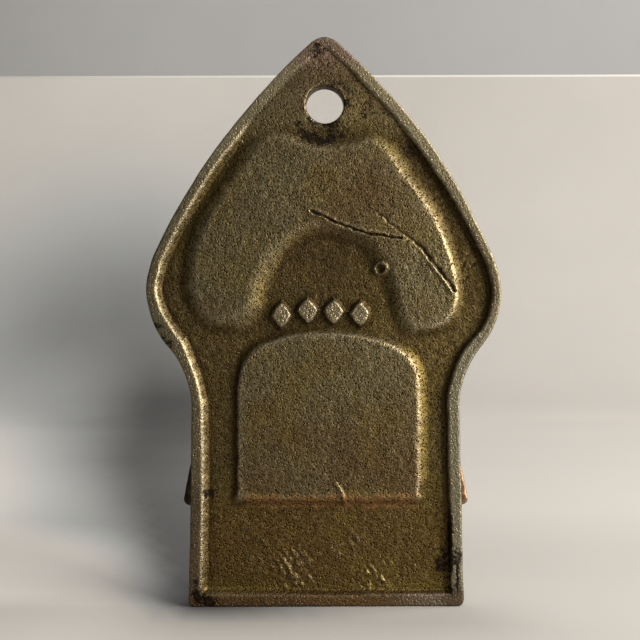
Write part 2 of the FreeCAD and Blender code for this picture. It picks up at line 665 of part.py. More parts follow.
def make_back_plate(doc):
    """The back casting: pointed plate, rim and sunk field behind, hinge lugs in front."""
    body = doc.addObject("PartDesign::Body", "back_plate")
    body.Label = "back_plate"
    outline = body_sketch(body, "plate_outline", "XZ_Plane")
    draw_plate_outline(outline)
    pad(body, outline, "plate_depth", "plate")
    doc.recompute()
    round_edges(body, "edge_round", "plate_edges", is_face_outline)
    field = body_sketch(body, "field_outline", "XZ_Plane")
    draw_plate_outline(field, "rim_width", size("rim_width"), "field_corner")
    pocket(body, field, "field_depth", "field", reverse=True, taper="- field_slope")
    land = body_sketch(body, "tip_land_outline", "XZ_Plane", "tip_drop")
    draw_tip_land(land)
    pad(body, land, "field_depth - tip_drop", "tip_land_pad")
    raised(body, draw_horseshoe, "horseshoe", "pad_drop")
    raised(body, draw_tombstone, "tombstone", "pad_drop")
    marks = body_sketch(body, "mark_outline", "XZ_Plane", "field_depth - mark_rise")
    draw_lozenge(marks)
    first_mark = pad(body, marks, "mark_rise", "mark")
    row_of(body, first_mark, "mark_count", "mark_pitch", "mark_row")
    ring_at = ("- ring_side", "ring_height - hole_height")
    ring = circle_sketch(body, "ring_circle", "XZ_Plane", *ring_at, "ring_out", "field_depth - ring_rise")
    pad(body, ring, "ring_rise", "ring")
    eye = circle_sketch(body, "ring_eye_circle", "XZ_Plane", *ring_at, "ring_in", "field_depth - ring_rise")
    pocket(body, eye, "ring_rise", "ring_eye", reverse=True)
    front = "plate_depth"
    arch = body_sketch(body, "arch_hollow_outline", "XZ_Plane", front)
    draw_horseshoe(arch, "hollow_inset", size("hollow_inset"))
    pocket(body, arch, "front_sink", "arch_hollow")
    tomb = body_sketch(body, "tomb_hollow_outline", "XZ_Plane", front)
    draw_tombstone(tomb, "hollow_inset", size("hollow_inset"))
    pocket(body, tomb, "front_sink", "tomb_hollow")
    border = body_sketch(body, "border_outlines", "XZ_Plane", front)
    draw_plate_outline(border, "line_inset", size("line_inset"), "field_corner")
    inner = size("line_inset") + size("line_width")
    draw_plate_outline(border, "( line_inset + line_width )", inner, "field_corner")
    pocket(body, border, "line_depth", "border_line")
    hinge_blocks(body, "lug", "lug_inside", "lug_thick", "- lug_root", "lug_gap")
    hole = circle_sketch(body, "hanging_hole_circle", "XZ_Plane", "0", "0", "hole_radius")
    pocket(body, hole, None, "hanging_hole", reverse=True)
    return body


# ---------------------------------------------------------------- front jaw


def find_belly_centre():
    """Centre of the belly arc: level with the hinge, and one radius away from the top of the lip's land."""
    hinge = level("hinge_height")
    rise = hinge - level("lip_foot") - size("lip_land")
    lip = -(size("plate_depth") + size("lip_gap"))
    return (lip + math.sqrt(size("belly_radius") ** 2 - rise**2), hinge)


def draw_jaw_side(sketch):
    """Side view of the jaw: straight lip, belly arc up to the hinge, thumb piece leaning forward."""
    foot, hinge, top = level("lip_foot"), level("hinge_height"), level("thumb_height")
    lip = -(size("plate_depth") + size("lip_gap"))
    thick = size("jaw_thick")
    belly = size("belly_radius")
    belly_centre = find_belly_centre()
    back = belly_centre[0] - belly
    climb, lean = top - hinge, size("thumb_lean")
    thumb = (climb**2 + lean**2) / (2 * lean)
    thumb_centre = (back - thumb, hinge)
    land_top = (lip, foot + size("lip_land"))
    low = direction(belly_centre, land_top) % 360
    high = math.degrees(math.asin(climb / thumb))
    front_x = lip - size("lip_bead")
    front_low = 180 + math.degrees(math.acos((belly_centre[0] - front_x) / (belly + thick)))
    front_top = polar(belly_centre, belly + thick, front_low)
    shapes = [
        line((lip, foot), land_top),
        arc(belly_centre, belly, 180, low),
        arc(thumb_centre, thumb, 0, high),
        line(polar(thumb_centre, thumb, high), polar(thumb_centre, thumb - thick, high)),
        arc(thumb_centre, thumb - thick, 0, high),
        arc(belly_centre, belly + thick, 180, front_low),
        line(front_top, (front_x, foot)),
        line((front_x, foot), (lip, foot)),
    ]
    land, belly_back, thumb_back, end, thumb_front, belly_front, bead, base = sketch.addGeometry(shapes)
    sketch.addConstraint(Sketcher.Constraint("Vertical", land))
    sketch.addConstraint(Sketcher.Constraint("Vertical", bead))
    sketch.addConstraint(Sketcher.Constraint("Horizontal", base))
    joined(sketch, land, END, belly_back, END)
    tangent(sketch, belly_back, START, thumb_back, START)
    joined(sketch, thumb_back, END, end, START)
    joined(sketch, end, END, thumb_front, END)
    tangent(sketch, thumb_front, START, belly_front, START)
    joined(sketch, belly_front, END, bead, START)
    joined(sketch, bead, END, base, START)
    joined(sketch, base, END, land, START)
    joined(sketch, belly_back, CENTRE, belly_front, CENTRE)
    joined(sketch, thumb_back, CENTRE, thumb_front, CENTRE)
    place(sketch, land, START, "- plate_depth - lip_gap", "lip_foot - hole_height")
    drive(sketch, Sketcher.Constraint("DistanceY", land, START, land, END, size("lip_land")), "lip_land")
    radius(sketch, belly_back, "belly_radius", belly)
    below_origin(sketch, belly_back, START, "hole_height - hinge_height", -hinge)
    sketch.addConstraint(Sketcher.Constraint("Horizontal", belly_back, START, belly_back, CENTRE))
    below_origin(sketch, end, START, "hole_height - thumb_height", -top)
    drive(sketch, Sketcher.Constraint("DistanceX", end, START, thumb_back, START, lean), "thumb_lean")
    sketch.addConstraint(Sketcher.Constraint("PointOnObject", thumb_back, CENTRE, end))
    drive(sketch, Sketcher.Constraint("Distance", end, START, end, END, thick), "jaw_thick")
    drive(sketch, Sketcher.Constraint("Distance", base, START, base, END, size("lip_bead")), "lip_bead")


def draw_jaw_trim(sketch):
    """What the front view cuts away on each side: flared sides, round shoulders, narrow thumb piece."""
    foot = level("lip_foot")
    start = (size("mouth_half"), foot)
    end = (size("bell_half"), level("bell_level"))
    flare = size("bell_flare")
    centre = circle_centre(start, flare, end, flare, -1)
    shoulder_r, neck_r = size("bell_shoulder"), size("neck_radius")
    flare_end = direction(centre, end) % 360
    shoulder = polar(end, shoulder_r, flare_end)
    side = size("thumb_half")
    neck_x = side + neck_r
    neck_z = shoulder[1] + math.sqrt((shoulder_r + neck_r) ** 2 - (neck_x - shoulder[0]) ** 2)
    neck = (neck_x, neck_z)
    split = direction(shoulder, neck)
    top = level("thumb_height") + size("trim_margin")
    edge = size("mouth_half") + size("trim_margin")
    shapes = [
        arc(centre, flare, flare_end, direction(centre, start) % 360),
        arc(shoulder, shoulder_r, flare_end - 180, split),
        arc(neck, neck_r, 180, split + 180),
        line((side, neck_z), (side, top)),
        line((side, top), (edge, top)),
        line((edge, top), (edge, foot)),
        line((edge, foot), start),
    ]
    half = sketch.addGeometry(shapes)
    flare_arc, shoulder_arc, neck_arc, thumb_side, top_line, edge_line, foot_line = half
    tangent(sketch, flare_arc, START, shoulder_arc, START)
    tangent(sketch, shoulder_arc, END, neck_arc, END)
    tangent(sketch, neck_arc, START, thumb_side, START)
    joined(sketch, thumb_side, END, top_line, START)
    joined(sketch, top_line, END, edge_line, START)
    joined(sketch, edge_line, END, foot_line, START)
    joined(sketch, foot_line, END, flare_arc, END)
    sketch.addConstraint(Sketcher.Constraint("Vertical", thumb_side))
    sketch.addConstraint(Sketcher.Constraint("Horizontal", top_line))
    sketch.addConstraint(Sketcher.Constraint("Vertical", edge_line))
    sketch.addConstraint(Sketcher.Constraint("Horizontal", foot_line))
    radius(sketch, flare_arc, "bell_flare", flare)
    radius(sketch, shoulder_arc, "bell_shoulder", shoulder_r)
    radius(sketch, neck_arc, "neck_radius", neck_r)
    place(sketch, flare_arc, END, "mouth_half", "lip_foot - hole_height")
    place(sketch, flare_arc, START, "bell_half", "bell_level - hole_height")
    place(sketch, thumb_side, END, "thumb_half", "thumb_height + trim_margin - hole_height")
    right_of_origin(sketch, edge_line, START, "mouth_half + trim_margin", edge)
    add_left_half(sketch, half)


def draw_panel(sketch):
    """Side view of the shallow panel sunk in the belly, a band that follows its curve."""
    centre = find_belly_centre()
    front = size("belly_radius") + size("jaw_thick")
    floor = front - size("panel_sink")
    clear = front + size("panel_sink")
    low = 180 + math.degrees(math.asin((centre[1] - level("panel_foot")) / floor))
    high = 180 + math.degrees(math.asin((centre[1] - level("panel_top")) / floor))
    shapes = [
        arc(centre, floor, high, low),
        arc(centre, clear, high, low),
        line(polar(centre, floor, low), polar(centre, clear, low)),
        line(polar(centre, floor, high), polar(centre, clear, high)),
    ]
    floor_arc, clear_arc, low_line, high_line = sketch.addGeometry(shapes)
    joined(sketch, floor_arc, END, low_line, START)
    joined(sketch, low_line, END, clear_arc, END)
    joined(sketch, floor_arc, START, high_line, START)
    joined(sketch, high_line, END, clear_arc, START)
    joined(sketch, floor_arc, CENTRE, clear_arc, CENTRE)
    for shape in (low_line, high_line):
        sketch.addConstraint(Sketcher.Constraint("PointOnObject", floor_arc, CENTRE, shape))
    below_origin(sketch, floor_arc, CENTRE, "hole_height - hinge_height", -centre[1])
    below_origin(sketch, floor_arc, END, "hole_height - panel_foot", -level("panel_foot"))
    below_origin(sketch, floor_arc, START, "hole_height - panel_top", -level("panel_top"))
    radius(sketch, floor_arc, "belly_radius + jaw_thick - panel_sink", floor)
    radius(sketch, clear_arc, "belly_radius + jaw_thick + panel_sink", clear)
    lip = V(-(size("plate_depth") + size("lip_gap")), level("lip_foot") + size("lip_land"), 0)
    lip_top = sketch.addGeometry(Part.Point(lip), True)
    place(sketch, lip_top, START, "- plate_depth - lip_gap", "lip_foot + lip_land - hole_height")
    belly = Sketcher.Constraint("Distance", floor_arc, CENTRE, lip_top, START, size("belly_radius"))
    drive(sketch, belly, "belly_radius")


def draw_grooves(sketch):
    """Side view of the grooves that roughen the end of the thumb piece, as circles along its front."""
    hinge = level("hinge_height")
    climb, lean = level("thumb_height") - hinge, size("thumb_lean")
    thumb = (climb**2 + lean**2) / (2 * lean)
    belly_x, _level = find_belly_centre()
    centre_x = belly_x - size("belly_radius") - thumb
    reach = thumb - size("jaw_thick") - size("groove_proud")
    for step in range(int(size("groove_count"))):
        z = level("groove_first") + step * size("groove_pitch")
        y = centre_x + math.sqrt(reach**2 - (z - hinge) ** 2)
        circle = sketch.addGeometry(Part.Circle(V(y, z, 0), V(0, 0, 1), size("groove_radius")))
        radius(sketch, circle, "groove_radius", size("groove_radius"))
        rise = f"hole_height - groove_first - {step} * groove_pitch"
        below_origin(sketch, circle, CENTRE, rise, -z)
        sketch.addConstraint(Sketcher.Constraint("DistanceX", circle, CENTRE, *ORIGIN, -y))


def corner_edges(level_from, level_to, reach):
    """A test for the short edges that run through the jaw's thickness near its side corners."""

    def keep(edge):
        box = edge.BoundBox
        inside = box.ZMin > level_from and box.ZMax < level_to
        return inside and box.XLength < ON_AXIS and abs(abs(box.XMin) - reach) < NEAR_SIDE

    return keep


def make_front_jaw(doc):
    """The sprung casting: gripping lip, bell-shaped belly, ears for the pin and a thumb piece."""
    body = doc.addObject("PartDesign::Body", "front_jaw")
    body.Label = "front_jaw"
    side = body_sketch(body, "jaw_side", "YZ_Plane")
    draw_jaw_side(side)
    pad(body, side, "2 * mouth_half", "jaw_plate", midplane=True)
    trim = body_sketch(body, "jaw_trim", "XZ_Plane")
    draw_jaw_trim(trim)
    pocket(body, trim, None, "jaw_outline", reverse=True)
    doc.recompute()
    top = level("thumb_height")
    thumb_corners = corner_edges(top - size("jaw_thick"), top + size("trim_margin"), size("thumb_half"))
    round_edges(body, "thumb_tip", "thumb_corners", thumb_corners)
    doc.recompute()
    foot = level("lip_foot")
    mouth_corners = corner_edges(foot - NEAR_LEVEL, foot + NEAR_LEVEL, size("mouth_half"))
    round_edges(body, "mouth_corner", "mouth_corners", mouth_corners)
    doc.recompute()
    panel = body_sketch(body, "panel_side", "YZ_Plane")
    draw_panel(panel)
    pocket(body, panel, "2 * panel_half", "panel", midplane=True)
    grooves = body_sketch(body, "groove_side", "YZ_Plane")
    draw_grooves(grooves)
    pocket(body, grooves, "2 * groove_half", "thumb_grooves", midplane=True)
    hinge_blocks(body, "ear", "ear_inside", "ear_thick", "- ear_root", "ear_gap")
    return body


# ---------------------------------------------------------------- hinge pin


def draw_pin(sketch):
    """Half section of the right half of the pin, from the clip's centre to the dome of its head."""
    shank = size("lug_inside") + size("lug_thick")
    r, head = size("pin_radius"), size("head_radius")
    edge, thick = size("head_edge"), size("head_thick")
    cap = thick - edge
    dome = (head**2 + cap**2) / (2 * cap)
    end = shank + thick
    centre = (end - dome, 0)
    points = [(0, 0), (0, r), (shank, r), (shank, head), (shank + edge, head)]
    shapes = [line(points[i], points[i + 1]) for i in range(4)]
    shapes.append(arc(centre, dome, 0, direction(centre, points[4])))
    shapes.append(line((end, 0), (0, 0)))
    middle, shank_line, step, rim, cap_arc, axis = sketch.addGeometry(shapes)
    joined(sketch, middle, END, shank_line, START)
    joined(sketch, shank_line, END, step, START)
    joined(sketch, step, END, rim, START)
    joined(sketch, rim, END, cap_arc, END)
    joined(sketch, cap_arc, START, axis, START)
    joined(sketch, axis, END, middle, START)
    joined(sketch, middle, START, *ORIGIN)
    for shape in (shank_line, rim, axis):
        sketch.addConstraint(Sketcher.Constraint("Horizontal", shape))
    for shape in (middle, step):
        sketch.addConstraint(Sketcher.Constraint("Vertical", shape))
    sketch.addConstraint(Sketcher.Constraint("PointOnObject", cap_arc, CENTRE, LEVEL_LINE))
    above_origin(sketch, middle, END, "pin_radius", r)
    right_of_origin(sketch, shank_line, END, "lug_inside + lug_thick", shank)
    above_origin(sketch, step, END, "head_radius", head)
    drive(sketch, Sketcher.Constraint("Distance", rim, START, rim, END, edge), "head_edge")
    right_of_origin(sketch, axis, START, "lug_inside + lug_thick + head_thick", end)


def make_hinge_pin(doc):
    """The steel pin, riveted over at both ends, turned about its own axis and laid along the hinge."""
    body = doc.addObject("PartDesign::Body", "hinge_pin")
    body.Label = "hinge_pin"
    section = body_sketch(body, "pin_section", "XY_Plane")
    draw_pin(section)
    turned = body.newObject("PartDesign::Revolution", "pin_half")
    turned.Profile = section
    turned.ReferenceAxis = (section, ["H_Axis"])
    turned.Angle = 360
    mirror(body, [turned], "pin_whole")
    body.setExpression("Placement.Base.y", sheet_name("- hinge_depth"))
    body.setExpression("Placement.Base.z", sheet_name("hinge_height - hole_height"))
    return body


# ---------------------------------------------------------------- torsion spring


def spring_leg(doc, name, x_formula, lean_formula, towards_plate):
    """A straight leg that leaves its coil at a tangent and climbs at a given lean, with a round end."""
    lean = math.radians(value_of(lean_formula))
    side = 1 if towards_plate else -1
    r = size("coil_radius")
    x = value_of(x_formula)
    start = V(x, side * r * math.cos(lean), -r * math.sin(lean))
    along = V(0, side * math.sin(lean), math.cos(lean))
    leg = doc.addObject("Part::Cylinder", name)
    leg.setExpression("Radius", sheet_name("wire_radius"))
    leg.setExpression("Height", sheet_name("leg_length"))
    leg.Placement = App.Placement(start, App.Rotation(V(0, 0, 1), along))
    end = start + along * size("leg_length")
    return [leg, ball(doc, name + "_root", start), ball(doc, name + "_tip", end)], end


def ball(doc, name, centre):
    """A bend or an end of the wire, rounded over."""
    sphere = doc.addObject("Part::Sphere", name)
    sphere.setExpression("Radius", sheet_name("bend_radius"))
    sphere.Placement = App.Placement(centre, App.Rotation())
    return sphere


def coil(doc):
    """One helical coil along +X: from the inner leg's tangent point to the outer leg's."""
    spread = 180 - size("plate_leg_lean") - size("thumb_leg_lean")
    turns = size("coil_whole_turns") + spread / 360
    spine = doc.addObject("Part::Helix", "coil_spine")
    spine.setExpression("Radius", sheet_name("coil_radius"))
    spine.setExpression("Pitch", sheet_name("coil_pitch"))
    spread_formula = "( 180 - plate_leg_lean - thumb_leg_lean ) / 360"
    spine.setExpression("Height", sheet_name(f"coil_pitch * ( coil_whole_turns + {spread_formula} )"))
    along_x = App.Rotation(V(0, 1, 0), V(0, 0, 1), V(1, 0, 0), "ZXY")
    start_turn = App.Rotation(V(1, 0, 0), 180 + size("thumb_leg_lean"))
    spine.Placement = App.Placement(V(size("coil_start"), 0, 0), start_turn * along_x)
    doc.recompute()
    first = spine.Shape.Edges[0]
    section = doc.addObject("Part::Circle", "coil_section")
    section.setExpression("Radius", sheet_name("wire_radius"))
    at = first.valueAt(first.FirstParameter)
    tangent_there = first.tangentAt(first.FirstParameter)
    section.Placement = App.Placement(at, App.Rotation(V(0, 0, 1), tangent_there))
    sweep = doc.addObject("Part::Sweep", "coil")
    sweep.Sections = [section]
    sweep.Spine = (spine, ["Edge1"])
    sweep.Solid = True
    sweep.Frenet = True
    return sweep, size("coil_start") + turns * size("coil_pitch")


def make_torsion_spring(doc):
    """A double torsion spring on the pin: outer legs on the plate, a bridge behind the thumb piece."""
    wound, outer = coil(doc)
    plate_leg, _tip = spring_leg(doc, "plate_leg", str(outer), "plate_leg_lean", True)
    thumb_leg, bridge_end = spring_leg(doc, "thumb_leg", "coil_start", "thumb_leg_lean", False)
    half = doc.addObject("Part::MultiFuse", "spring_half")
    half.Shapes = [wound] + plate_leg + thumb_leg
    other = doc.addObject("Part::Mirroring", "spring_other_half")
    other.Source = half
    other.Normal = V(1, 0, 0)
    bridge = doc.addObject("Part::Cylinder", "spring_bridge")
    bridge.setExpression("Radius", sheet_name("wire_radius"))
    bridge.setExpression("Height", sheet_name("2 * coil_start"))
    start = V(-bridge_end.x, bridge_end.y, bridge_end.z)
    bridge.Placement = App.Placement(start, App.Rotation(V(0, 0, 1), V(1, 0, 0)))
    spring = doc.addObject("Part::MultiFuse", "torsion_spring")
    spring.Label = "torsion_spring"
    spring.Shapes = [half, other, bridge]
    spring.setExpression("Placement.Base.y", sheet_name("- hinge_depth"))
    spring.setExpression("Placement.Base.z", sheet_name("hinge_height - hole_height"))
    return spring


# ---------------------------------------------------------------- whole clip


def check(doc, nodes):
    """Stops with a message if any object failed or any piece isn't one valid closed solid."""
    for item in doc.Objects:
        if {"Invalid", "Error"} & set(item.State):
            raise RuntimeError(f"{item.Label} failed: {item.State}")
    for node in nodes:
        shape = node.Shape
        if shape.isNull() or not shape.isValid() or len(shape.Solids) != 1:
            raise RuntimeError(f"{node.Label} is not one valid solid: {len(shape.Solids)}")


def main():
    doc = App.newDocument("letter_clip")
    make_sheet(doc)
    makers = (make_back_plate, make_front_jaw, make_hinge_pin, make_torsion_spring)
    nodes = [maker(doc) for maker in makers]
    doc.recompute()
    check(doc, nodes)
    os.makedirs("parts", exist_ok=True)
    for node in nodes:
        node.Shape.exportStep(f"parts/{node.Label}.step")
        box = node.Shape.BoundBox
        sides = f"{box.XLength:.2f} x {box.YLength:.2f} x {box.ZLength:.2f}"
        print(f"{node.Label}: {node.Shape.Volume:.1f} mm3, {sides}")


main()
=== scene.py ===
"""Looks of a wall-hung letter clip, seen from its back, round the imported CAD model.

Lengths in the tables are millimetres. A place on the plate is (u, h): u is the distance from the
centre line towards -X, to the right when the back faces the viewer, and h the height above the foot.
"""
import math

import bpy
import numpy as np
from mathutils import Matrix, Vector
from mathutils.geometry import delaunay_2d_cdt
from mathutils.kdtree import KDTree


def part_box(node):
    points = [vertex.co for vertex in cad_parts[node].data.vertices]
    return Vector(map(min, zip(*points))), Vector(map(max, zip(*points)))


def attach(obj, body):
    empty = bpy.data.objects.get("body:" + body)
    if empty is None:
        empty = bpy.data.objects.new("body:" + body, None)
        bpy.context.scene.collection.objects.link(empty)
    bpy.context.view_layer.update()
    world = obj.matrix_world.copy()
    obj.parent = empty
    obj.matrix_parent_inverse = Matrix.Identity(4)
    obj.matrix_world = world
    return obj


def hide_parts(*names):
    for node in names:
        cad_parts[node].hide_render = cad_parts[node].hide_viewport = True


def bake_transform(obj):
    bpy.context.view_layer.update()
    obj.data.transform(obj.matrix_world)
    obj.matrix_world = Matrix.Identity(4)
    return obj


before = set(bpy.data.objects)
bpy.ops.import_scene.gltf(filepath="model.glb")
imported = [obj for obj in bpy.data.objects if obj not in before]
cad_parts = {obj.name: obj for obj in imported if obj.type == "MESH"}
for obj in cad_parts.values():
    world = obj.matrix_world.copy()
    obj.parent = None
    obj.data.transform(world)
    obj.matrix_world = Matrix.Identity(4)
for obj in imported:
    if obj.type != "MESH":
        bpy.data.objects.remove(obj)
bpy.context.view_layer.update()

MM = 0.001
PLATE_LOW, PLATE_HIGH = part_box("back_plate")
FOOT_Z = PLATE_LOW.z / MM
HEIGHT = (PLATE_HIGH.z - PLATE_LOW.z) / MM
SHOULDER_HALF = PLATE_HIGH.x / MM

# ---- small helpers


TINY = 1e-9


def smooth(value, low, high):
    """0 below low, 1 above high, and a smooth step between them."""
    t = np.clip((value - low) / (high - low), 0.0, 1.0)
    return t * t * (3.0 - 2.0 * t)


def bump(distance, width):
    """A round hump of height 1 that fades over width."""
    return np.exp(-((distance / width) ** 2))


def noise(x, y, cell, seed):
    """Smooth value noise from 0 to 1 whose lumps are about one cell across."""
    table = np.random.default_rng(seed).random((257, 257))
    px, py = x / cell + 1000.3, y / cell + 1000.7
    ix, iy = np.floor(px).astype(int), np.floor(py).astype(int)
    fx, fy = px - ix, py - iy
    fx, fy = fx * fx * (3 - 2 * fx), fy * fy * (3 - 2 * fy)
    ix, iy = ix % 256, iy % 256
    top = table[ix, iy] * (1 - fx) + table[ix + 1, iy] * fx
    low = table[ix, iy + 1] * (1 - fx) + table[ix + 1, iy + 1] * fx
    return top * (1 - fy) + low * fy


def ripple(x, y, cell, seed):
    """The same noise, from -0.5 to 0.5."""
    return noise(x, y, cell, seed) - 0.5


def segments_distance(points, path):
    """Distance from each point to an open polyline."""
    nearest = np.full(len(points), 1e9)
    for a, b in zip(path[:-1], path[1:]):
        along = b - a
        t = np.clip((points - a) @ along / max(along @ along, 1e-12), 0, 1)
        away = points - a - t[:, None] * along
        nearest = np.minimum(nearest, np.hypot(away[:, 0], away[:, 1]))
    return nearest


def rounded_edge(gap, radius):
    """How far a rounded edge falls away from its face, at a distance in from that edge."""
    short = np.clip(radius - gap, 0, radius)
    return radius - np.sqrt(np.maximum(radius**2 - short**2, 0))


def line_points(start, end, spacing):
    count = max(1, int(math.dist(start, end) / spacing))
    t = np.linspace(0, 1, count, endpoint=False)[:, None]
    return np.array(start) * (1 - t) + np.array(end) * t


class Loop:
    """A closed curve that tells how far inside it each point is."""

    def __init__(self, corners, spacing=0.3):
        corners = np.asarray(corners, float)
        runs = [line_points(a, b, spacing) for a, b in zip(corners, np.roll(corners, -1, 0))]
        self.points = np.vstack(runs)
        x, y = self.points.T
        if np.sum(x * np.roll(y, -1) - np.roll(x, -1) * y) < 0:
            self.points = self.points[::-1].copy()
        self.tree = KDTree(len(self.points))
        for index, at in enumerate(self.points):
            self.tree.insert((*at, 0), index)
        self.tree.balance()

    def inside(self, points):
        """Distance to the curve, positive inside it and negative outside."""
        nearest = np.array([self.tree.find((x, y, 0))[1] for x, y in points])
        at = self.points[nearest]
        gaps, sides = [], []
        for step in (-1, 1):
            run = self.points[(nearest + step) % len(self.points)] - at
            t = np.einsum("ij,ij->i", points - at, run) / np.einsum("ij,ij->i", run, run)
            away = points - (at + np.clip(t, 0, 1)[:, None] * run)
            along = run * step
            side = along[:, 0] * (points - at)[:, 1] - along[:, 1] * (points - at)[:, 0]
            sides.append(side / np.linalg.norm(along, axis=1))
            gaps.append(np.hypot(away[:, 0], away[:, 1]))
        nearer = gaps[1] < gaps[0] - TINY
        tied = np.abs(gaps[1] - gaps[0]) <= TINY
        side = np.where(nearer, sides[1], np.where(tied, sides[0] + sides[1], sides[0]))
        gap = np.minimum(gaps[0], gaps[1])
        return np.where(side > 0, gap, -gap)


def rounded_loop(corners, steps=6):
    """A closed smooth curve through a few given points."""
    p = np.array(corners, float)
    before, after, later = np.roll(p, 1, 0), np.roll(p, -1, 0), np.roll(p, -2, 0)
    t = np.arange(steps)[:, None, None] / steps
    curve = (2 * p + (after - before) * t + (2 * before - 5 * p + 4 * after - later) * t**2
             + (3 * p - before - 3 * after + later) * t**3) / 2
    return curve.transpose(1, 0, 2).reshape(-1, 2)


def trimmed_loop(corners, rounds=3):
    """A closed curve: given points with their corners trimmed again and again."""
    p = np.array(corners, float)
    for _ in range(rounds):
        later = np.roll(p, -1, 0)
        p = np.stack([0.75 * p + 0.25 * later, 0.25 * p + 0.75 * later], 1).reshape(-1, 2)
    return p


# ---- plate outline

TIP_RADIUS = 4.0
OGIVE_RADIUS = 125.0
SHOULDER_RADIUS = 17.0
SHOULDER_LEVEL = 59.7
WAIST_RADIUS = 18.0
WAIST_HALF = 25.4
SIDE_FLARE = math.radians(0.7)
FOOT_CORNER = 1.1
THICKNESS = 3.5
HOLE_LEVEL = HEIGHT - PLATE_HIGH.z / MM
HOLE_RADIUS = 3.6


def arc_points(centre, radius, start, end, spacing):
    """Points along an arc, leaving out its last one."""
    count = max(2, int(abs(end - start) * radius / spacing))
    angles = np.linspace(start, end, count, endpoint=False)
    return np.stack([centre[0] + radius * np.cos(angles), centre[1] + radius * np.sin(angles)], 1)


def angle_to(start, end):
    return math.atan2(end[1] - start[1], end[0] - start[0])


def circle(centre, radius, count):
    angles = np.arange(count) / count * 2 * math.pi
    return np.stack([centre[0] + radius * np.cos(angles), centre[1] + radius * np.sin(angles)], 1)


def hole_loop(step=0.0):
    """A circle round the hanging hole, a step outside its wall."""
    return circle((0.0, HOLE_LEVEL), HOLE_RADIUS + step, HOLE_STEPS)


def from_hole(points):
    """Distance to the hanging hole's wall, in the plate's plane."""
    return np.hypot(points[:, 0], points[:, 1] - HOLE_LEVEL) - HOLE_RADIUS


def plate_outline(spacing):
    """The outline as a closed loop: tip, long side arcs, shoulders, hollow waist, flared sides."""
    tip = (0.0, HEIGHT - TIP_RADIUS)
    shoulder = (SHOULDER_HALF - SHOULDER_RADIUS, SHOULDER_LEVEL)
    gap = math.dist(tip, shoulder)
    reach_tip, reach_side = OGIVE_RADIUS - TIP_RADIUS, OGIVE_RADIUS - SHOULDER_RADIUS
    along = (gap**2 + reach_tip**2 - reach_side**2) / (2 * gap)
    across = math.sqrt(reach_tip**2 - along**2)
    ux, uy = (shoulder[0] - tip[0]) / gap, (shoulder[1] - tip[1]) / gap
    ogive = (tip[0] + ux * along + uy * across, tip[1] + uy * along - ux * across)
    waist_x = WAIST_HALF + WAIST_RADIUS
    drop = math.sqrt((SHOULDER_RADIUS + WAIST_RADIUS) ** 2 - (waist_x - shoulder[0]) ** 2)
    waist = (waist_x, SHOULDER_LEVEL - drop)
    turn = angle_to(shoulder, waist)
    flare_x, flare_h = WAIST_RADIUS * math.cos(SIDE_FLARE), WAIST_RADIUS * math.sin(SIDE_FLARE)
    waist_end = (waist_x - flare_x, waist[1] - flare_h)
    side_end = (waist_end[0] + (waist_end[1] - FOOT_CORNER) * math.tan(SIDE_FLARE), FOOT_CORNER)
    corner = (side_end[0] - FOOT_CORNER, FOOT_CORNER)
    half = np.vstack([
        arc_points(tip, TIP_RADIUS, math.pi / 2, angle_to(ogive, tip), spacing),
        arc_points(ogive, OGIVE_RADIUS, angle_to(ogive, tip), angle_to(ogive, shoulder), spacing),
        arc_points(shoulder, SHOULDER_RADIUS, angle_to(ogive, shoulder), turn, spacing),
        arc_points(waist, WAIST_RADIUS, turn + math.pi, math.pi + SIDE_FLARE, spacing),
        line_points(waist_end, side_end, spacing),
        arc_points(corner, FOOT_CORNER, SIDE_FLARE, -math.pi / 2, spacing / 2),
        line_points((corner[0], 0.0), (0.0, 0.0), spacing),
        [(0.0, 0.0)],
    ])
    return np.vstack([half, half[1:-1][::-1] * (-1, 1)])


# ---- relief of the back

RIM_WIDTH = 1.9
RIM_SLOPE = 1.15
FIELD_DEPTH = 1.5
PAD_RISE = 1.2
EDGE_ROUND = 0.38

HOLE_ROUND = 0.4
LAND_SLOPE = 86.2, 92.8
VALLEY_LEVEL, VALLEY_CURVE, VALLEY_DEPTH = 89.3, 0.016, 0.38
ARCH_MIDDLE, ARCH_REACH = 57.8, (17.5, 19.5)
# Height of the painted highlight on the inner slope of the rim at the foot.
GOLD_HIGHLIGHT_LEVEL = 3.2
HORSESHOE = Loop(rounded_loop([
    (0, 86.0), (4.5, 86.5), (8.3, 87.6), (10.6, 86.6), (12.7, 84.2), (15.2, 80.8), (18.1, 76.8),
    (20.9, 72.2), (23.3, 66.8), (24.6, 61.5), (24.5, 56.6), (22.4, 53.3), (18.9, 52.3), (16.1, 53.5),
    (14.9, 56.5), (14.2, 60.2), (12.6, 64.5), (9.4, 68.7), (5.0, 71.3), (0, 72.2), (-5.0, 71.5),
    (-9.7, 68.7), (-12.8, 64.4), (-14.5, 60.0), (-15.2, 57.0), (-17.0, 55.0), (-20.0, 54.4),
    (-22.7, 55.8), (-24.4, 58.8), (-24.9, 62.5), (-24.0, 67.5), (-22.1, 72.5), (-19.4, 77.0),
    (-16.2, 81.4), (-13.6, 85.0), (-11.3, 88.0), (-8.6, 88.7), (-4.6, 86.9),
]))
TOMBSTONE = Loop(trimmed_loop([
    (-16.4, 20.9), (-16.35, 20.35), (-15.8, 20.2), (16.6, 20.2), (17.15, 20.35), (17.2, 20.9),
    (17.2, 40.5), (17.0, 43.5), (15.9, 46.2), (13.6, 48.1), (9.8, 49.7), (5, 50.6), (0, 50.9),
    (-5, 50.6), (-9.6, 49.6), (-13.2, 47.9), (-15.4, 45.6), (-16.3, 42.8), (-16.4, 39.5),
]))
MARK_MIDDLE, MARK_LEVEL, MARK_PITCH, MARK_HALF = -0.9, 55.2, 5.0, (2.45, 3.05)
MARK_SHIFTS = (-0.5, 0.35, 0.2, -0.3)
MARK_RISE = 1.1
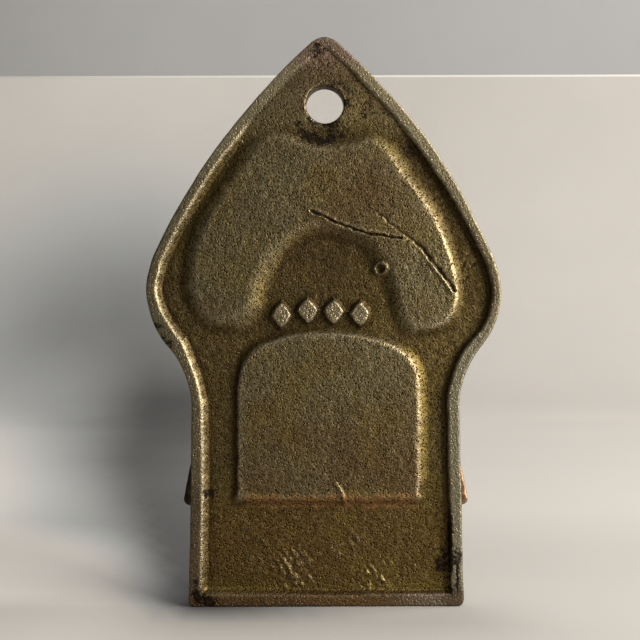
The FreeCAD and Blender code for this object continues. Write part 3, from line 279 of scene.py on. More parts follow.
RING_AT, RING_RADIUS = (10.5, 63.5), 1.05
LONG_CRACK = np.array([
    (-2.6, 74.5), (-0.6, 73.7), (2.0, 72.3), (5.0, 71.2), (8.0, 70.2), (11.2, 69.8), (14.5, 69.2),
])
SHORT_CRACK = np.array([
    (10.3, 74.0), (13.2, 71.3), (16.0, 69.5), (18.5, 67.4), (20.2, 65.0), (22.0, 62.8), (24.6, 59.2),
])
SCRATCHES = [np.array(p) for p in (
    [(25.8, 60.8), (27.3, 62.0)], [(28.0, 64.0), (29.3, 64.9)], [(25.9, 63.2), (26.6, 64.6)],
)]
FIN = np.array([(1.8, 23.0), (2.9, 21.6), (3.3, 20.2), (3.5, 18.6)])
# Each flow patch is its middle's u and h, its radius and its weight.
FLOW_PATCHES = (
    (-6.4, 6.0, 6.2, 1.1), (9.0, 5.4, 5.6, 1.0), (3.8, 11.2, 4.6, 0.8), (-12.5, 7.5, 3.4, 0.5),
)
FLOW_WAY = (0.54, -0.84)


def soft_max(a, b, width):
    """The larger of two heights, with the crease between them rounded over."""
    share = np.clip(0.5 + 0.5 * (a - b) / width, 0, 1)
    return b + (a - b) * share + width * share * (1 - share)


def marks_height(u, h):
    """A row of four plain worn lozenges, standing where a foundry puts its pattern marks."""
    rise = np.zeros(len(u))
    for index, shift in enumerate(MARK_SHIFTS):
        across = (u - MARK_MIDDLE - (index - 1.5) * MARK_PITCH) / MARK_HALF[0]
        up = (h - MARK_LEVEL - shift) / MARK_HALF[1]
        lozenge = np.abs(across) + np.abs(up) + 0.22 * ripple(u, h, 1.3, 11)
        rise = np.maximum(rise, smooth(1.10 - 0.55 * lozenge - 0.55 * np.hypot(across, up), 0.0, 0.42))
    return rise


def flow_lines(u, h):
    """Fine lines left by the running metal, in a few patches near the foot."""
    along = FLOW_WAY[0] * u + FLOW_WAY[1] * h
    across = FLOW_WAY[0] * h - FLOW_WAY[1] * u
    lines = 0.65 * noise(along * 0.28, across, 0.6, 15) + 0.35 * noise(along, across, 0.7, 16)
    patch = np.zeros(len(u))
    for middle_u, middle_h, radius, weight in FLOW_PATCHES:
        apart = np.hypot(u - middle_u, h - middle_h) / radius
        patch = np.maximum(patch, weight * (1 - smooth(apart, 0.35, 1.0)))
    return smooth(lines, 0.50, 0.80) * patch


class Relief:
    """Depth of the back below the rim's plane, and what its material's masks are made from."""

    def __init__(self, points, outline):
        self.u, self.h = u, h = -points[:, 0], points[:, 1]
        self.at = np.stack([u, h], 1)
        self.edge = outline.inside(points)
        self.hole = np.hypot(u, h - HOLE_LEVEL)
        self.land = smooth(h + 0.04 * np.abs(u), *LAND_SLOPE)
        self.rim, calm = self.shape_rim()
        self.arch = self.shape_arch()
        tomb = self.shape_tomb()
        self.pads = np.maximum(self.arch, tomb)
        self.marks = marks_height(u, h)
        self.flow = flow_lines(u, h)
        rise = self.skin(calm) + MARK_RISE * self.marks
        from_ring = np.hypot(u - RING_AT[0], h - RING_AT[1])
        rise += 0.45 * bump(from_ring - RING_RADIUS, 0.42) - 0.15 * bump(from_ring, 0.5)
        rise = self.add_flaws(rise)
        depth = FIELD_DEPTH - rise + 0.02
        depth += rounded_edge(self.edge, EDGE_ROUND * (1 + 0.5 * ripple(u, h, 3.0, 9)))
        depth += rounded_edge(self.hole - HOLE_RADIUS, HOLE_ROUND)
        self.depth = np.maximum(depth, 0.0)

    def shape_rim(self):
        """The raised rim, 1 on its top, and how far its inner wall calms the sand's grain."""
        u, h = self.u, self.h
        inset = self.edge + 0.22 * ripple(u, h, 7.0, 1) + 0.16 * ripple(u, h, 2.2, 2)
        slope = RIM_SLOPE + (0.25 + 0.2 * smooth(-h, -44, -36)) * smooth(-u, 6, 18)
        slope -= 0.5 * smooth(u, 4, 14)
        width = RIM_WIDTH - 0.35 * smooth(-u, 14, 22) * smooth(h, 32, 42)
        width += 0.9 * smooth(-u, 20, 24) * bump(h - 51.5, 4)
        width += 0.2 * smooth(u, 2, 8) - 0.45 * smooth(u, 20, 27) * smooth(h, 46, 54)
        foot = width + slope
        return 1 - smooth(inset, width, foot), 1 - 0.85 * (1 - smooth(inset, foot, foot + 1.0))

    def shape_arch(self):
        """The upper pad, 1 on its top, with a slope that is wider on its left and inside its arch."""
        u, h = self.u, self.h
        inside = HORSESHOE.inside(self.at) + 0.22 * ripple(u, h, 4.0, 3)
        within = 1 - smooth(np.hypot(u, h - ARCH_MIDDLE), *ARCH_REACH)
        outer = smooth(u, 9, 16) * (1 - within)
        slope = 2.1 + (1.3 + 1.2 * smooth(-u, 4, 10)) * within + 1.1 * smooth(-u, 8, 16) * (1 - within)
        slope += 1.3 * smooth(h, 82, 90) + (0.5 + 1.2 * smooth(h, 66, 76)) * outer
        return smooth(inside, -slope, 0.25) ** (1 + 0.9 * outer)

    def shape_tomb(self):
        """The lower pad, 1 on its top, with masks of a painted highlight along its left edge and of the
        golden slope on its right, which is partly a painted highlight.
        """
        u, h = self.u, self.h
        inside = TOMBSTONE.inside(self.at) + 0.2 * ripple(u, h, 3.0, 4)
        side = smooth(u, 14, 18) * smooth(h, 20, 24)
        crown = smooth(h, 44, 49) * (1 - side)
        slope = 1.0 + 2.1 * side + 1.0 * smooth(-h, -22.0, -19.5) + 0.7 * crown
        # Painted highlight along the lower pad's left edge, which faces away from the light.
        self.tomb_edge_highlight = bump(inside - 0.15, 0.28) * smooth(-u, 14.5, 15.5) * smooth(h, 22, 26)
        # Golden tint on the slope right of the lower pad, partly a painted highlight where the light
        # from the right falls.
        self.gold_and_highlight = (smooth(inside, -3.4, -1.6) - smooth(inside, -1.6, -0.3)) * smooth(u, 13, 16)
        return smooth(inside, -slope, 0.15) ** (1 + 0.6 * side)

    def skin(self, calm):
        """Height of the face above the field: land, pads and rim, with the sand's swell and grain."""
        u, h = self.u, self.h
        swell = 0.12 * ripple(u, h, 9.0, 5) + 0.10 * ripple(u, h, 2.6, 6)
        grain = 0.07 * ripple(u, h, 0.95, 7) + 0.08 * ripple(u, h, 0.62, 8)
        level = np.clip(1.24 - 0.045 * u, 0.95, 1.48)
        rise = soft_max(self.land * level, self.pads * PAD_RISE, 0.25)
        rise = soft_max(self.rim * FIELD_DEPTH, rise, 0.12)
        valley = bump((h - VALLEY_LEVEL + VALLEY_CURVE * u * u) / 1.6, 1.0) * bump(u - 1.2, 6.0)
        rise -= VALLEY_DEPTH * valley * (1 - self.rim)
        return np.minimum(rise + (swell + grain) * calm, FIELD_DEPTH)

    def add_flaws(self, rise):
        """Cracks with a raised lip, scratches, a fin across the lower pad's foot, and flow lines."""
        at = self.at
        shake = 0.34 * np.stack([ripple(*at.T, 0.8, 12), ripple(*at.T, 0.8, 13)], 1)
        long_way = segments_distance(at + shake, LONG_CRACK)
        short_way = segments_distance(at + shake, SHORT_CRACK)
        broken = 0.55 + 0.45 * smooth(noise(*at.T, 1.6, 14), 0.25, 0.5)
        taper = 0.45 + 0.55 * smooth(self.u, 12, 20)
        short = bump(short_way, 0.16 + 0.12 * taper) * taper
        self.crack = np.maximum(bump(long_way, 0.19), short) * broken
        above = bump(long_way - 0.45, 0.3) * (self.h < 75)
        below = bump(segments_distance(at + (0.42, 0.42), SHORT_CRACK), 0.32) * smooth(self.u, 17, 21)
        scratches = [bump(segments_distance(at, path), 0.2) for path in SCRATCHES]
        self.scratch = np.maximum.reduce(scratches)
        fin = bump(segments_distance(at, FIN), 0.24)
        rise = rise - 0.5 * self.crack + 0.10 * above + 0.2 * below - 0.25 * self.scratch
        return rise + 0.34 * fin + 0.17 * self.flow


# ---- plate mesh

BACK_GRID = 0.32
FINE_GRID = 0.16
FRONT_GRID = 0.62
FINE_BOXES = ((-26, 52), (12, 76)), ((-14, 1), (16, 13))
OUTLINE_STEP = 0.32
JOIN_GAP = 1e-6
HOLE_STEPS = 96
WALL_SHARES = (0.33, 0.67)
BORDER_INSET, BORDER_WIDTH, BORDER_DEPTH = 2.2, 0.7, 0.4
FRONT_SINK = 1.0


def hex_grid(low, high, spacing):
    """Points of a triangular grid over a rectangle."""
    rows = int((high[1] - low[1]) / (spacing * 0.866)) + 1
    columns = int((high[0] - low[0]) / spacing) + 1
    x = low[0] + np.arange(columns)[None, :] * spacing + (np.arange(rows)[:, None] % 2) * spacing / 2
    y = low[1] + np.arange(rows)[:, None] * spacing * 0.866 + np.zeros((1, columns))
    return np.stack([x.ravel(), y.ravel()], 1)


def inward_normals(loop):
    """Unit normals of the clockwise outline, pointing into the plate."""
    along = np.roll(loop, -1, 0) - np.roll(loop, 1, 0)
    normal = np.stack([along[:, 1], -along[:, 0]], 1)
    return normal / np.linalg.norm(normal, axis=1)[:, None]


def ring_points(loop, normals, outline, insets):
    """Copies of the outline moved inwards, less the points that crowd at its sharp turns."""
    kept = []
    for inset in insets:
        ring = loop + normals * inset
        kept.append(ring[outline.inside(ring) > inset - 0.03])
    return np.vstack(kept)


def filled(loop, hole, scattered=()):
    """Triangles over a loop and its hole. The first points are the loop's, then the hole's."""
    points = np.vstack([loop, hole, *scattered])
    n, m = len(loop), len(hole)
    edges = [(i, (i + 1) % n) for i in range(n)] + [(n + i, n + (i + 1) % m) for i in range(m)]
    found = delaunay_2d_cdt([Vector(p) for p in points], edges, [], 0, JOIN_GAP)
    return np.array([tuple(v) for v in found[0]]), np.array(found[2])


def triangulate(loop, outline, scattered):
    """Triangles over the plate between its outline and its hole."""
    flat, triangles = filled(loop, hole_loop(), [scattered])
    middle = flat[triangles].mean(1)
    keep = (from_hole(middle) > -0.002) & (outline.inside(middle) > -0.001)
    return flat, triangles[keep]


def facing(flat, triangles, counter_clockwise):
    a, b, c = flat[triangles[:, 0]], flat[triangles[:, 1]], flat[triangles[:, 2]]
    area = (b[:, 0] - a[:, 0]) * (c[:, 1] - a[:, 1]) - (b[:, 1] - a[:, 1]) * (c[:, 0] - a[:, 0])
    wrong = (area > 0) != counter_clockwise
    triangles[wrong] = triangles[wrong][:, ::-1]
    return triangles


def detailed(points, margin):
    """Whether each point lies where the relief is fine: cracks, marks, the ring and the flow lines."""
    at = points * (-1, 1)
    u, h = at.T
    near = segments_distance(at, LONG_CRACK) < 0.8 + margin
    near |= segments_distance(at, SHORT_CRACK) < 0.8 + margin
    near |= (np.abs(u - MARK_MIDDLE) < 10.2 + margin) & (np.abs(h - MARK_LEVEL) < 3.2 + margin)
    near |= np.hypot(u - RING_AT[0], h - RING_AT[1]) < 2.0 + margin
    for middle_u, middle_h, radius, _ in FLOW_PATCHES[:2]:
        near |= np.hypot(u - middle_u, h - middle_h) < radius * 0.9 + margin
    return near


def face_points(loop, normals, outline, insets, grid, hole_gap, steps):
    """The points of one face: rings along the outline, a grid, and circles round the hole."""
    rings = ring_points(loop, normals, outline, insets)
    return np.vstack([rings, grid[from_hole(grid) > hole_gap]] + [hole_loop(step) for step in steps])


def back_points(loop, normals, outline):
    insets = [0.1, 0.22, 0.38, 0.6, 0.9, 1.2, 1.5, 1.75, 2.0, 2.25, 2.5, 2.75, 3.0, 3.3]
    grid = hex_grid(loop.min(0), loop.max(0), BACK_GRID)
    fine = np.vstack([hex_grid(low, high, FINE_GRID) for low, high in FINE_BOXES])
    grid = np.vstack([grid[~detailed(grid, 0.1)], fine[detailed(fine, 0.0)]])
    grid = grid[outline.inside(grid) > insets[-1] + 0.15]
    return face_points(loop, normals, outline, insets, grid, 0.75, (0.1, 0.24, 0.4, 0.62))


def front_points(loop, normals, outline):
    start, end = BORDER_INSET, BORDER_INSET + BORDER_WIDTH
    insets = [0.08, 0.2, 0.34, 0.5, start - 0.12, start, start + 0.12, end - 0.12, end, end + 0.12]
    grid = hex_grid(loop.min(0), loop.max(0), FRONT_GRID)
    edge = outline.inside(grid)
    between = (edge > 0.8) & (edge < start - 0.4)
    grid = grid[between | (edge > end + 0.4)]
    return face_points(loop, normals, outline, insets, grid, 1.0, (0.12, 0.26, 0.42))


def front_dent(points, outline):
    """How far the front lies behind its rim's plane: pad hollows, border line, soft edges."""
    u, h = -points[:, 0], points[:, 1]
    at = np.stack([u, h], 1)
    edge = outline.inside(points)
    end = BORDER_INSET + BORDER_WIDTH
    dent = FRONT_SINK * smooth(np.maximum(HORSESHOE.inside(at), TOMBSTONE.inside(at)), 1.0, 2.1)
    groove = smooth(edge, BORDER_INSET - 0.1, BORDER_INSET + 0.12)
    dent += BORDER_DEPTH * groove * (1 - smooth(edge, end - 0.12, end + 0.1))
    dent += rounded_edge(edge, EDGE_ROUND) + rounded_edge(from_hole(points), HOLE_ROUND)
    return dent + 0.09 * noise(u, h, 5.0, 21) + 0.07 * noise(u, h, 1.9, 22)


def averaged(values, triangles, rounds):
    """Values blurred over the mesh by averaging each vertex with its neighbours."""
    sides = np.vstack([triangles[:, [0, 1]], triangles[:, [1, 2]], triangles[:, [2, 0]]])
    here, there = np.vstack([sides, sides[:, ::-1]]).T
    count = np.bincount(here, minlength=len(values)) + 1
    for _ in range(rounds):
        values = (values + np.bincount(here, values[there], len(values))) / count
    return values


def painted(piece, look):
    piece.data.materials.clear()
    piece.data.materials.append(look)


def placed(name, mesh):
    made = bpy.data.objects.new(name, mesh)
    bpy.context.scene.collection.objects.link(made)
    return made


def set_masks(mesh, masks):
    """Smooth shading, and one float attribute on the mesh for each mask of its material."""
    for key, values in masks.items():
        layer = mesh.attributes.new(key, "FLOAT", "POINT")
        layer.data.foreach_set("value", np.asarray(values, np.float32))
    mesh.polygons.foreach_set("use_smooth", np.ones(len(mesh.polygons), bool))
    mesh.update()


def new_mesh(name, points_mm, faces, masks=None):
    """A mesh object in the frame, from points in millimetres."""
    mesh = bpy.data.meshes.new(name)
    mesh.from_pydata((points_mm * MM).tolist(), [], faces)
    set_masks(mesh, masks or {})
    return placed(name, mesh)


# Each spot of soot is its middle's u and h, its radius and its weight.
SOOT_SPOTS = (
    (-1.1, 105.7, 1.1, 0.8), (-2.1, 104.7, 0.9, 0.65), (0.3, 103.4, 3.6, 0.36), (2.6, 100.8, 1.8, 0.45),
    (4.4, 99.2, 1.6, 0.4), (21.8, 7.4, 1.8, 0.7), (23.2, 9.0, 2.6, 0.75), (-24.0, 1.9, 1.9, 0.9),
    (-21.8, 0.9, 1.7, 0.85), (-24.4, 4.6, 1.2, 0.65), (23.6, 3.2, 1.4, 0.6), (-21.8, 20.8, 1.7, 0.7),
    (-32.0, 52.4, 1.4, 0.85), (-29.7, 48.9, 1.5, 0.75), (-30.8, 50.6, 1.2, 0.65),
    (-25.2, 15.0, 1.2, 0.5), (16.5, 86.0, 2.0, 0.55), (8.5, 94.0, 3.0, 0.4),
)


def wear_and_highlight_mask(relief, curve, shape):
    """Rubbed metal on small crests, high ground and the marks, and a painted highlight along the left
    wall of the rim.
    """
    wear_and_highlight = np.clip(0.5 * curve, 0, 1) + 0.32 * smooth(shape, 0.1, 0.9) + relief.marks + 0.3 * relief.flow
    wear_and_highlight += 0.9 * bump(np.hypot(relief.u - 24.5, relief.h - 59.0), 0.7)
    # Painted highlight: the rim's left inner wall made lighter, where the light from the right falls on
    # it.
    bank = smooth(relief.rim, 0.08, 0.35) * (1 - smooth(relief.rim, 0.85, 0.99))
    return wear_and_highlight + 0.35 * bank * smooth(-relief.u, 18, 22)


def grime_and_shade_mask(relief, curve, shape):
    """Dirt in cracks and scratches, and painted shade in low ground, in small dips and round the row of
    marks.
    """
    u, h = relief.u, relief.h
    # Painted shade in low ground, weaker towards the right where the light comes from, and in small
    # dips.
    shaded = 0.68 * (1 - 0.7 * smooth(u, -6, 16))
    grime_and_shade = shaded * smooth(-shape, 0.05, 0.9) + 0.5 * np.clip(-curve, 0, 1)
    grime_and_shade += 1.3 * relief.crack + 0.7 * relief.scratch
    # Painted shade round the raised marks.
    from_row = np.hypot(np.maximum(np.abs(u - MARK_MIDDLE) - 8.6, 0), h - MARK_LEVEL)
    grime_and_shade = (grime_and_shade + 0.7 * bump(from_row, 3.2)) * (1 - relief.marks)
    # Less near the top, and none on the painted highlight of the rim at the foot.
    return grime_and_shade * (1 - 0.6 * smooth(h, 84, 88)) * (1 - 0.7 * bump(h - GOLD_HIGHLIGHT_LEVEL, 1.3))


def dim_and_shade_mask(relief, foot, left_rim):
    """Darker colour inside the arch, round the hanging hole, at the sides, beside the arch's right slope
    and along the rim's foot, and painted shade on the rim's inner half at the right shoulder.
    """
    u, h, rim = relief.u, relief.h, relief.rim
    field = (1 - rim) * (1 - relief.pads)
    sides = np.maximum(smooth(u, 19, 23), smooth(-u, 16, 20) * smooth(-h, -47, -40))
    dim_and_shade = bump(h - 65, 7.0) * bump(u, 11.0) * (1 - relief.arch) + 0.8 * bump(h - 100, 3.0) * (1 - rim)
    dim_and_shade += foot * (0.8 * smooth(-u, -20, -8) + 0.5 * bump(u, 14.0)) + 0.8 * left_rim
    dim_and_shade += 0.6 * bump(h - VALLEY_LEVEL, 3.0) * bump(u, 6) + 0.1 * sides * field * smooth(h, 6, 16)
    # Painted shade on the inner half of the rim at the right shoulder, beside its shaded inner wall.
    dim_and_shade += 0.9 * bump(h - 61, 9) * smooth(relief.edge, 0.5, 0.9) * smooth(u, 26, 28.5) * rim
    dim_and_shade += rim * smooth(-h, -5, -2) * (smooth(np.abs(u), 20, 23) + 0.7 * bump(u, 13.0))
    dim_and_shade += 0.75 * field * smooth(u, 10, 17) * smooth(h, 54, 60) * smooth(-h, -92, -86)
    return dim_and_shade + 0.3 * smooth(-u, 18, 22) * smooth(-h, -40, -30) * rim


def soot_and_shade_mask(relief, fleck):
    """Black: stains round the hole, in two arcs below it and in spots, and painted shade in a slit low
    on the right rim and along that rim's inner wall.
    """
    u, h, hole = relief.u, relief.h, relief.hole
    around = bump(hole - HOLE_RADIUS, 2.6) * (0.45 + 0.55 * smooth(u - 0.4 * (h - HOLE_LEVEL), -3, 4))
    arcs = bump(hole - 6.6 + 0.9 * (fleck - 0.5), 1.3) * bump(u + 1.4, 6.6)
    arcs += 0.32 * bump(hole - 9.4 + 0.8 * (fleck - 0.5), 0.8) * bump(u - 3.0, 6.0)
    arcs *= smooth(HOLE_LEVEL - h, 1.0, 4.5)
    spots = np.zeros(len(u))
    for middle_u, middle_h, radius, weight in SOOT_SPOTS:
        ragged = np.hypot(u - middle_u, h - middle_h) + 1.1 * (fleck - 0.5)
        spots = np.maximum(spots, weight * (1 - smooth(ragged, radius * 0.45, radius * 1.25)))
    # Painted shade: a dark slit low on the right rim, and that rim's inner wall darkened, which faces
    # away from the light.
    slit = bump(u - 24.6, 0.35) * smooth(h, 1.5, 3) * smooth(-h, -10, -8)
    wall = bump(u - 23.4, 0.6) * smooth(h, 4, 7) * smooth(-h, -21, -15)
    around *= 0.75 * (0.5 + 0.9 * fleck)
    return np.maximum.reduce([around, 0.95 * arcs, spots, slit, 0.95 * wall])


def patina_masks(relief, triangles):
    """Where the back is worn bright, where dirt sits, and where it has turned coppery or black, with
    painted highlights and painted shade among them.
    """
    u, h, rim = relief.u, relief.h, relief.rim
    rise = -relief.depth
    curve = (rise - averaged(rise, triangles, 4)) / 0.06
    shape = (rise - averaged(rise, triangles, 40)) / 0.35
    blotch = noise(u, h, 5.0, 31)
    fleck = noise(u, h, 1.3, 32)
    foot = smooth(-h, -3.0, -2.0)
    left_rim = smooth(-u, 23.2, 24.0) * smooth(-h, -26, -19)
    rim_top = smooth(rim, 0.6, 0.97)
    ragged = h + 0.9 * (fleck - 0.5)
    tomb_slope = smooth(ragged, 17.7, 18.5) * smooth(-ragged, -21.2, -20.2)
    tomb_slope *= smooth(u, -17.0, -14) * smooth(-u, -19.0, -15.5)
    # Painted highlight along the inner slope of the rim at the foot.
    bottom_highlight = bump(h - GOLD_HIGHLIGHT_LEVEL, 1.2) * (0.55 + 0.45 * smooth(np.abs(u + 1), 6, 14))
    gold_and_highlight = 0.7 * relief.gold_and_highlight + 1.3 * bottom_highlight + 0.6 * bump(h - 52.6, 1.2) * bump(u - 3, 9)
    copper = 0.9 * smooth(h, 100, 105.5) + 0.7 * foot * smooth(u, 8, 18)
    copper += 0.7 * left_rim * smooth(blotch, 0.2, 0.5) + 0.2 * smooth(h, 92, 97) * (1 - rim)
    warm = 0.85 * smooth(-h, -52, -26) + 0.85 * bump(h - 75, 9.0) * bump(u - 5, 12.0)
    warm += 0.9 * (blotch - 0.5)
    # Paler rim top on the right, and the painted highlight along the lower pad's left edge.
    pale_and_highlight = rim_top * smooth(u, 6, 18) * smooth(-h, -66, -44) + 0.7 * relief.tomb_edge_highlight * (1 - rim)
    masks = {
        "wear_and_highlight": wear_and_highlight_mask(relief, curve, shape) * (1 - 0.9 * tomb_slope) * (1 - 0.85 * foot * rim),
        "grime_and_shade": grime_and_shade_mask(relief, curve, shape) * (1 - 0.95 * tomb_slope),
        "dim_and_shade": dim_and_shade_mask(relief, foot, left_rim),
        "soot_and_shade": soot_and_shade_mask(relief, fleck),
        "pads": np.maximum(relief.pads, np.maximum(rim, 0.6 * relief.land)),
        "rim": np.maximum(rim_top, relief.marks),
        "bare": np.maximum(rim_top * smooth(h, 77, 90) * smooth(-h, -107, -102), 0.9 * relief.marks),
        "lower": smooth(-h, -24, -15) * (1 - rim),
        "rust": np.maximum(tomb_slope, 0.8 * foot * smooth(-u, -18, -8)),
        # Painted light: a little more golden colour on the field's right side, towards the light.
        "gold_and_highlight": gold_and_highlight + 0.2 * smooth(u, 14, 20) * (1 - relief.pads),
        "copper": copper, "warm": warm, "pale_and_highlight": pale_and_highlight,
    }
    return {key: np.clip(values, 0, 1) for key, values in masks.items()}


def side_faces(first_back, first_front, count, reverse):
    """Quads between two rings whose points match."""
    i = np.arange(count)
    j = (i + 1) % count
    quads = np.stack([first_back + i, first_back + j, first_front + j, first_front + i], 1)
    return quads[:, ::-1] if reverse else quads


def wandered(loop):
    """The outline with a casting's unevenness, less at its furthest points, and a leaning shoulder."""
    x, h = loop.T
    wobble = 0.14 * noise(x, h, 6.0, 41) + 0.07 * noise(x, h, 1.4, 42)
    free = smooth(SHOULDER_HALF - np.abs(x), 0.0, 0.4) * smooth(HEIGHT - h, 0.0, 0.3)
    free *= smooth(h, 0.0, 0.3)
    lean = 0.8 * smooth(-x, 14, 24) * bump(h - 67, 14.0)
    return loop + inward_normals(loop) * (wobble * free + lean)[:, None]


def plate_walls(back, front, normals, hole_count):
    """The outer wall and the hole's, in three bands between the back's first points and the front's."""
    count = len(normals)
    ring = count + hole_count
    rings, faces = [], []
    for step, share in enumerate(WALL_SHARES):
        middle = back[:ring] * (1 - share) + front[:ring] * share
        push = 0.10 * noise(np.arange(count) * 0.3, np.full(count, step * 3.0), 1.1, 43 + step)
        middle[:count, [0, 2]] += normals * push[:, None]
        rings.append(middle)
    start = len(back) + len(front)
    firsts = [0, start, start + ring, len(back)]
    for first, later in zip(firsts[:-1], firsts[1:]):
        faces.append(side_faces(first, later, count, False))
        faces.append(side_faces(first + count, later + count, hole_count, True))
    return rings, faces


def plate_masks(back_masks, front_flat, dent, outline, ring):
    """Each mask over the whole plate: the back's values, simple ones in front, and the walls between."""
    h = front_flat[:, 1]
    edge = outline.inside(front_flat)
    hollow = smooth(dent, 0.35, 0.9)
    none = np.zeros(len(h))
    front_masks = {
        "wear_and_highlight": 0.8 * (1 - smooth(edge, 0.2, 0.9)),
        # Painted shade in the front's hollows and along its border groove.
        "grime_and_shade": 0.35 * hollow + 0.8 * bump(edge - BORDER_INSET - BORDER_WIDTH / 2, 0.5),
        "copper": 0.7 * smooth(-h, -4, -1) + 0.6 * smooth(h, 101, 106),
        "soot_and_shade": 0.5 * bump(from_hole(front_flat), 1.6),
        "pads": 1 - 0.6 * hollow,
        "warm": none + 0.4,
        "rim": 1 - smooth(edge, 1.6, 2.2),
    }
    masks = {}
    for key, back in back_masks.items():
        front = front_masks.get(key, none)
        wall = 0.5 * (back[:ring] + front[:ring])
        masks[key] = np.concatenate([back, front] + [wall] * len(WALL_SHARES))
    return masks


def build_plate():
    """The cast plate: detailed back, plainer front, outer wall and hole wall, as one closed mesh."""
    edge = wandered(plate_outline(OUTLINE_STEP))
    normals = inward_normals(edge)
    outline = Loop(edge)
    back_flat, back_faces = triangulate(edge, outline, back_points(edge, normals, outline))
    front_flat, front_faces = triangulate(edge, outline, front_points(edge, normals, outline))
    relief = Relief(back_flat, outline)
    dent = front_dent(front_flat, outline)
    back = np.stack([back_flat[:, 0], -relief.depth, back_flat[:, 1] + FOOT_Z], 1)
    front = np.stack([front_flat[:, 0], dent - THICKNESS, front_flat[:, 1] + FOOT_Z], 1)
    back_faces = facing(back_flat, back_faces, False)
    front_faces = facing(front_flat, front_faces, True) + len(back)
    rings, walls = plate_walls(back, front, normals, HOLE_STEPS)
    faces = [row for block in [back_faces, front_faces] + walls for row in block.tolist()]
    back_masks = patina_masks(relief, back_faces)
    masks = plate_masks(back_masks, front_flat, dent, outline, len(edge) + HOLE_STEPS)
    return new_mesh("cast_plate", np.vstack([back, front] + rings), faces, masks)


# ---- castings made by remeshing

HINGE_Y, HINGE_LEVEL = -10.5, 51.0
EYE_RADIUS = 3.2
LUG_HALF_ROOT = 5.2
LUG_INSIDE, LUG_THICK = 12.3, 3.0
LUG_ROOT_Y = -2.3
PIN_HOLE = 1.56
WELD_GAP = 2e-6


def gathered(items, key, width, kind=float):
    """A row of values for each item of a mesh's collection."""
    values = np.zeros(len(items) * width, kind)
    items.foreach_get(key, values)
    return values.reshape(-1, width)


def evaluated_mesh(source):
    """A plain mesh of an object with its modifiers applied."""
    graph = bpy.context.evaluated_depsgraph_get()
    return bpy.data.meshes.new_from_object(source.evaluated_get(graph))


def relaxed(points, sides, rounds):
    """Points moved towards the middle of their neighbours, which softens edges as sand casting does."""
    count = np.bincount(sides.ravel(), minlength=len(points)).astype(float)[:, None]
    ends = ((sides[:, 0], sides[:, 1]), (sides[:, 1], sides[:, 0]))
    for _ in range(rounds):
        total = np.zeros_like(points)
        for axis in range(3):
            for here, there in ends:
                total[:, axis] += np.bincount(here, points[there, axis], len(points))
        points = 0.5 * points + 0.5 * total / np.maximum(count, 1)
    return points


def remeshed(source, voxel_mm):
    """The skin of a solid mesh made anew with even small faces."""
    rough = placed("rough", source)
    rough.modifiers.new("weld", "WELD").merge_threshold = WELD_GAP
    remesh = rough.modifiers.new("remesh", "REMESH")
    remesh.mode = "VOXEL"
    remesh.voxel_size = voxel_mm * MM
    bpy.context.view_layer.update()
    mesh = evaluated_mesh(rough)
    bpy.data.objects.remove(rough)
    return mesh


def cast_copy(source, name, voxel_mm, rounds, sand_mm, seed):
    """A remeshed, softened and slightly uneven copy of a closed mesh, with masks for its material."""
    mesh = remeshed(source, voxel_mm)
    sharp, sides = gathered(mesh.vertices, "co", 3), gathered(mesh.edges, "vertices", 2, int)
    soft = relaxed(sharp, sides, rounds)
    mesh.vertices.foreach_set("co", soft.ravel())
    mesh.update()
    normals = gathered(mesh.vertices, "normal", 3)
    curve = np.einsum("ij,ij->i", soft - relaxed(soft, sides, 24), normals) / MM
    x, y, z = soft.T / MM
    across, up = x + 0.7 * y, z - 0.6 * y
    sand = sand_mm * (0.6 * noise(across, up, 3.1, seed) + 0.4 * noise(across, up, 1.2, seed + 1))
    soft = np.clip(soft - normals * (sand * MM)[:, None], sharp.min(0), sharp.max(0))
    mesh.vertices.foreach_set("co", soft.ravel())
    # Painted shade: the jaw's far left corner darkened, where the light from the right does not reach.
    stain_and_shade = smooth(soft[:, 0] / MM, 24.5, 26.5) * smooth(-soft[:, 2] / MM, 60, 66)
    # Rubbed crests, and painted shade in creases.
    wear_and_highlight, grime_and_shade = smooth(curve, 0.03, 0.16), smooth(-curve, 0.03, 0.16)
    set_masks(mesh, {"wear_and_highlight": wear_and_highlight, "grime_and_shade": grime_and_shade, "soot_and_shade": stain_and_shade})
    return placed(name, mesh)


def extruded(loop, hole, x_from, x_to):
    """A closed solid between two x planes, from an outline and a hole in (y, z)."""
    points = np.vstack([loop, hole])
    total, n, m = len(points), len(loop), len(hole)
    triangles = filled(loop, hole)[1]
    middle = points[triangles].mean(1)
    keep = (Loop(loop).inside(middle) > 0) & (Loop(hole).inside(middle) < 0)
    triangles = facing(points, triangles[keep], True)
    caps = [triangles[:, ::-1], triangles + total]
    walls = [side_faces(0, total, n, True), side_faces(n, total + n, m, False)]
    ends = [np.column_stack([np.full(total, x), points]) for x in (x_from, x_to)]
    return np.vstack(ends), [row for block in caps + walls for row in block.tolist()]


def lug_profile(centre):
    """A lug's side view in (y, z): round the pin, then straight to its root inside the plate."""
    reach = math.hypot(LUG_ROOT_Y - centre[0], LUG_HALF_ROOT)
    start = math.atan2(LUG_HALF_ROOT, LUG_ROOT_Y - centre[0]) + math.acos(EYE_RADIUS / reach)
    eye = arc_points(centre, EYE_RADIUS, start, 2 * math.pi - start, 0.25)
    root = [(LUG_ROOT_Y, centre[1] + way * LUG_HALF_ROOT) for way in (-1, 1)]
    return np.vstack([eye, root])


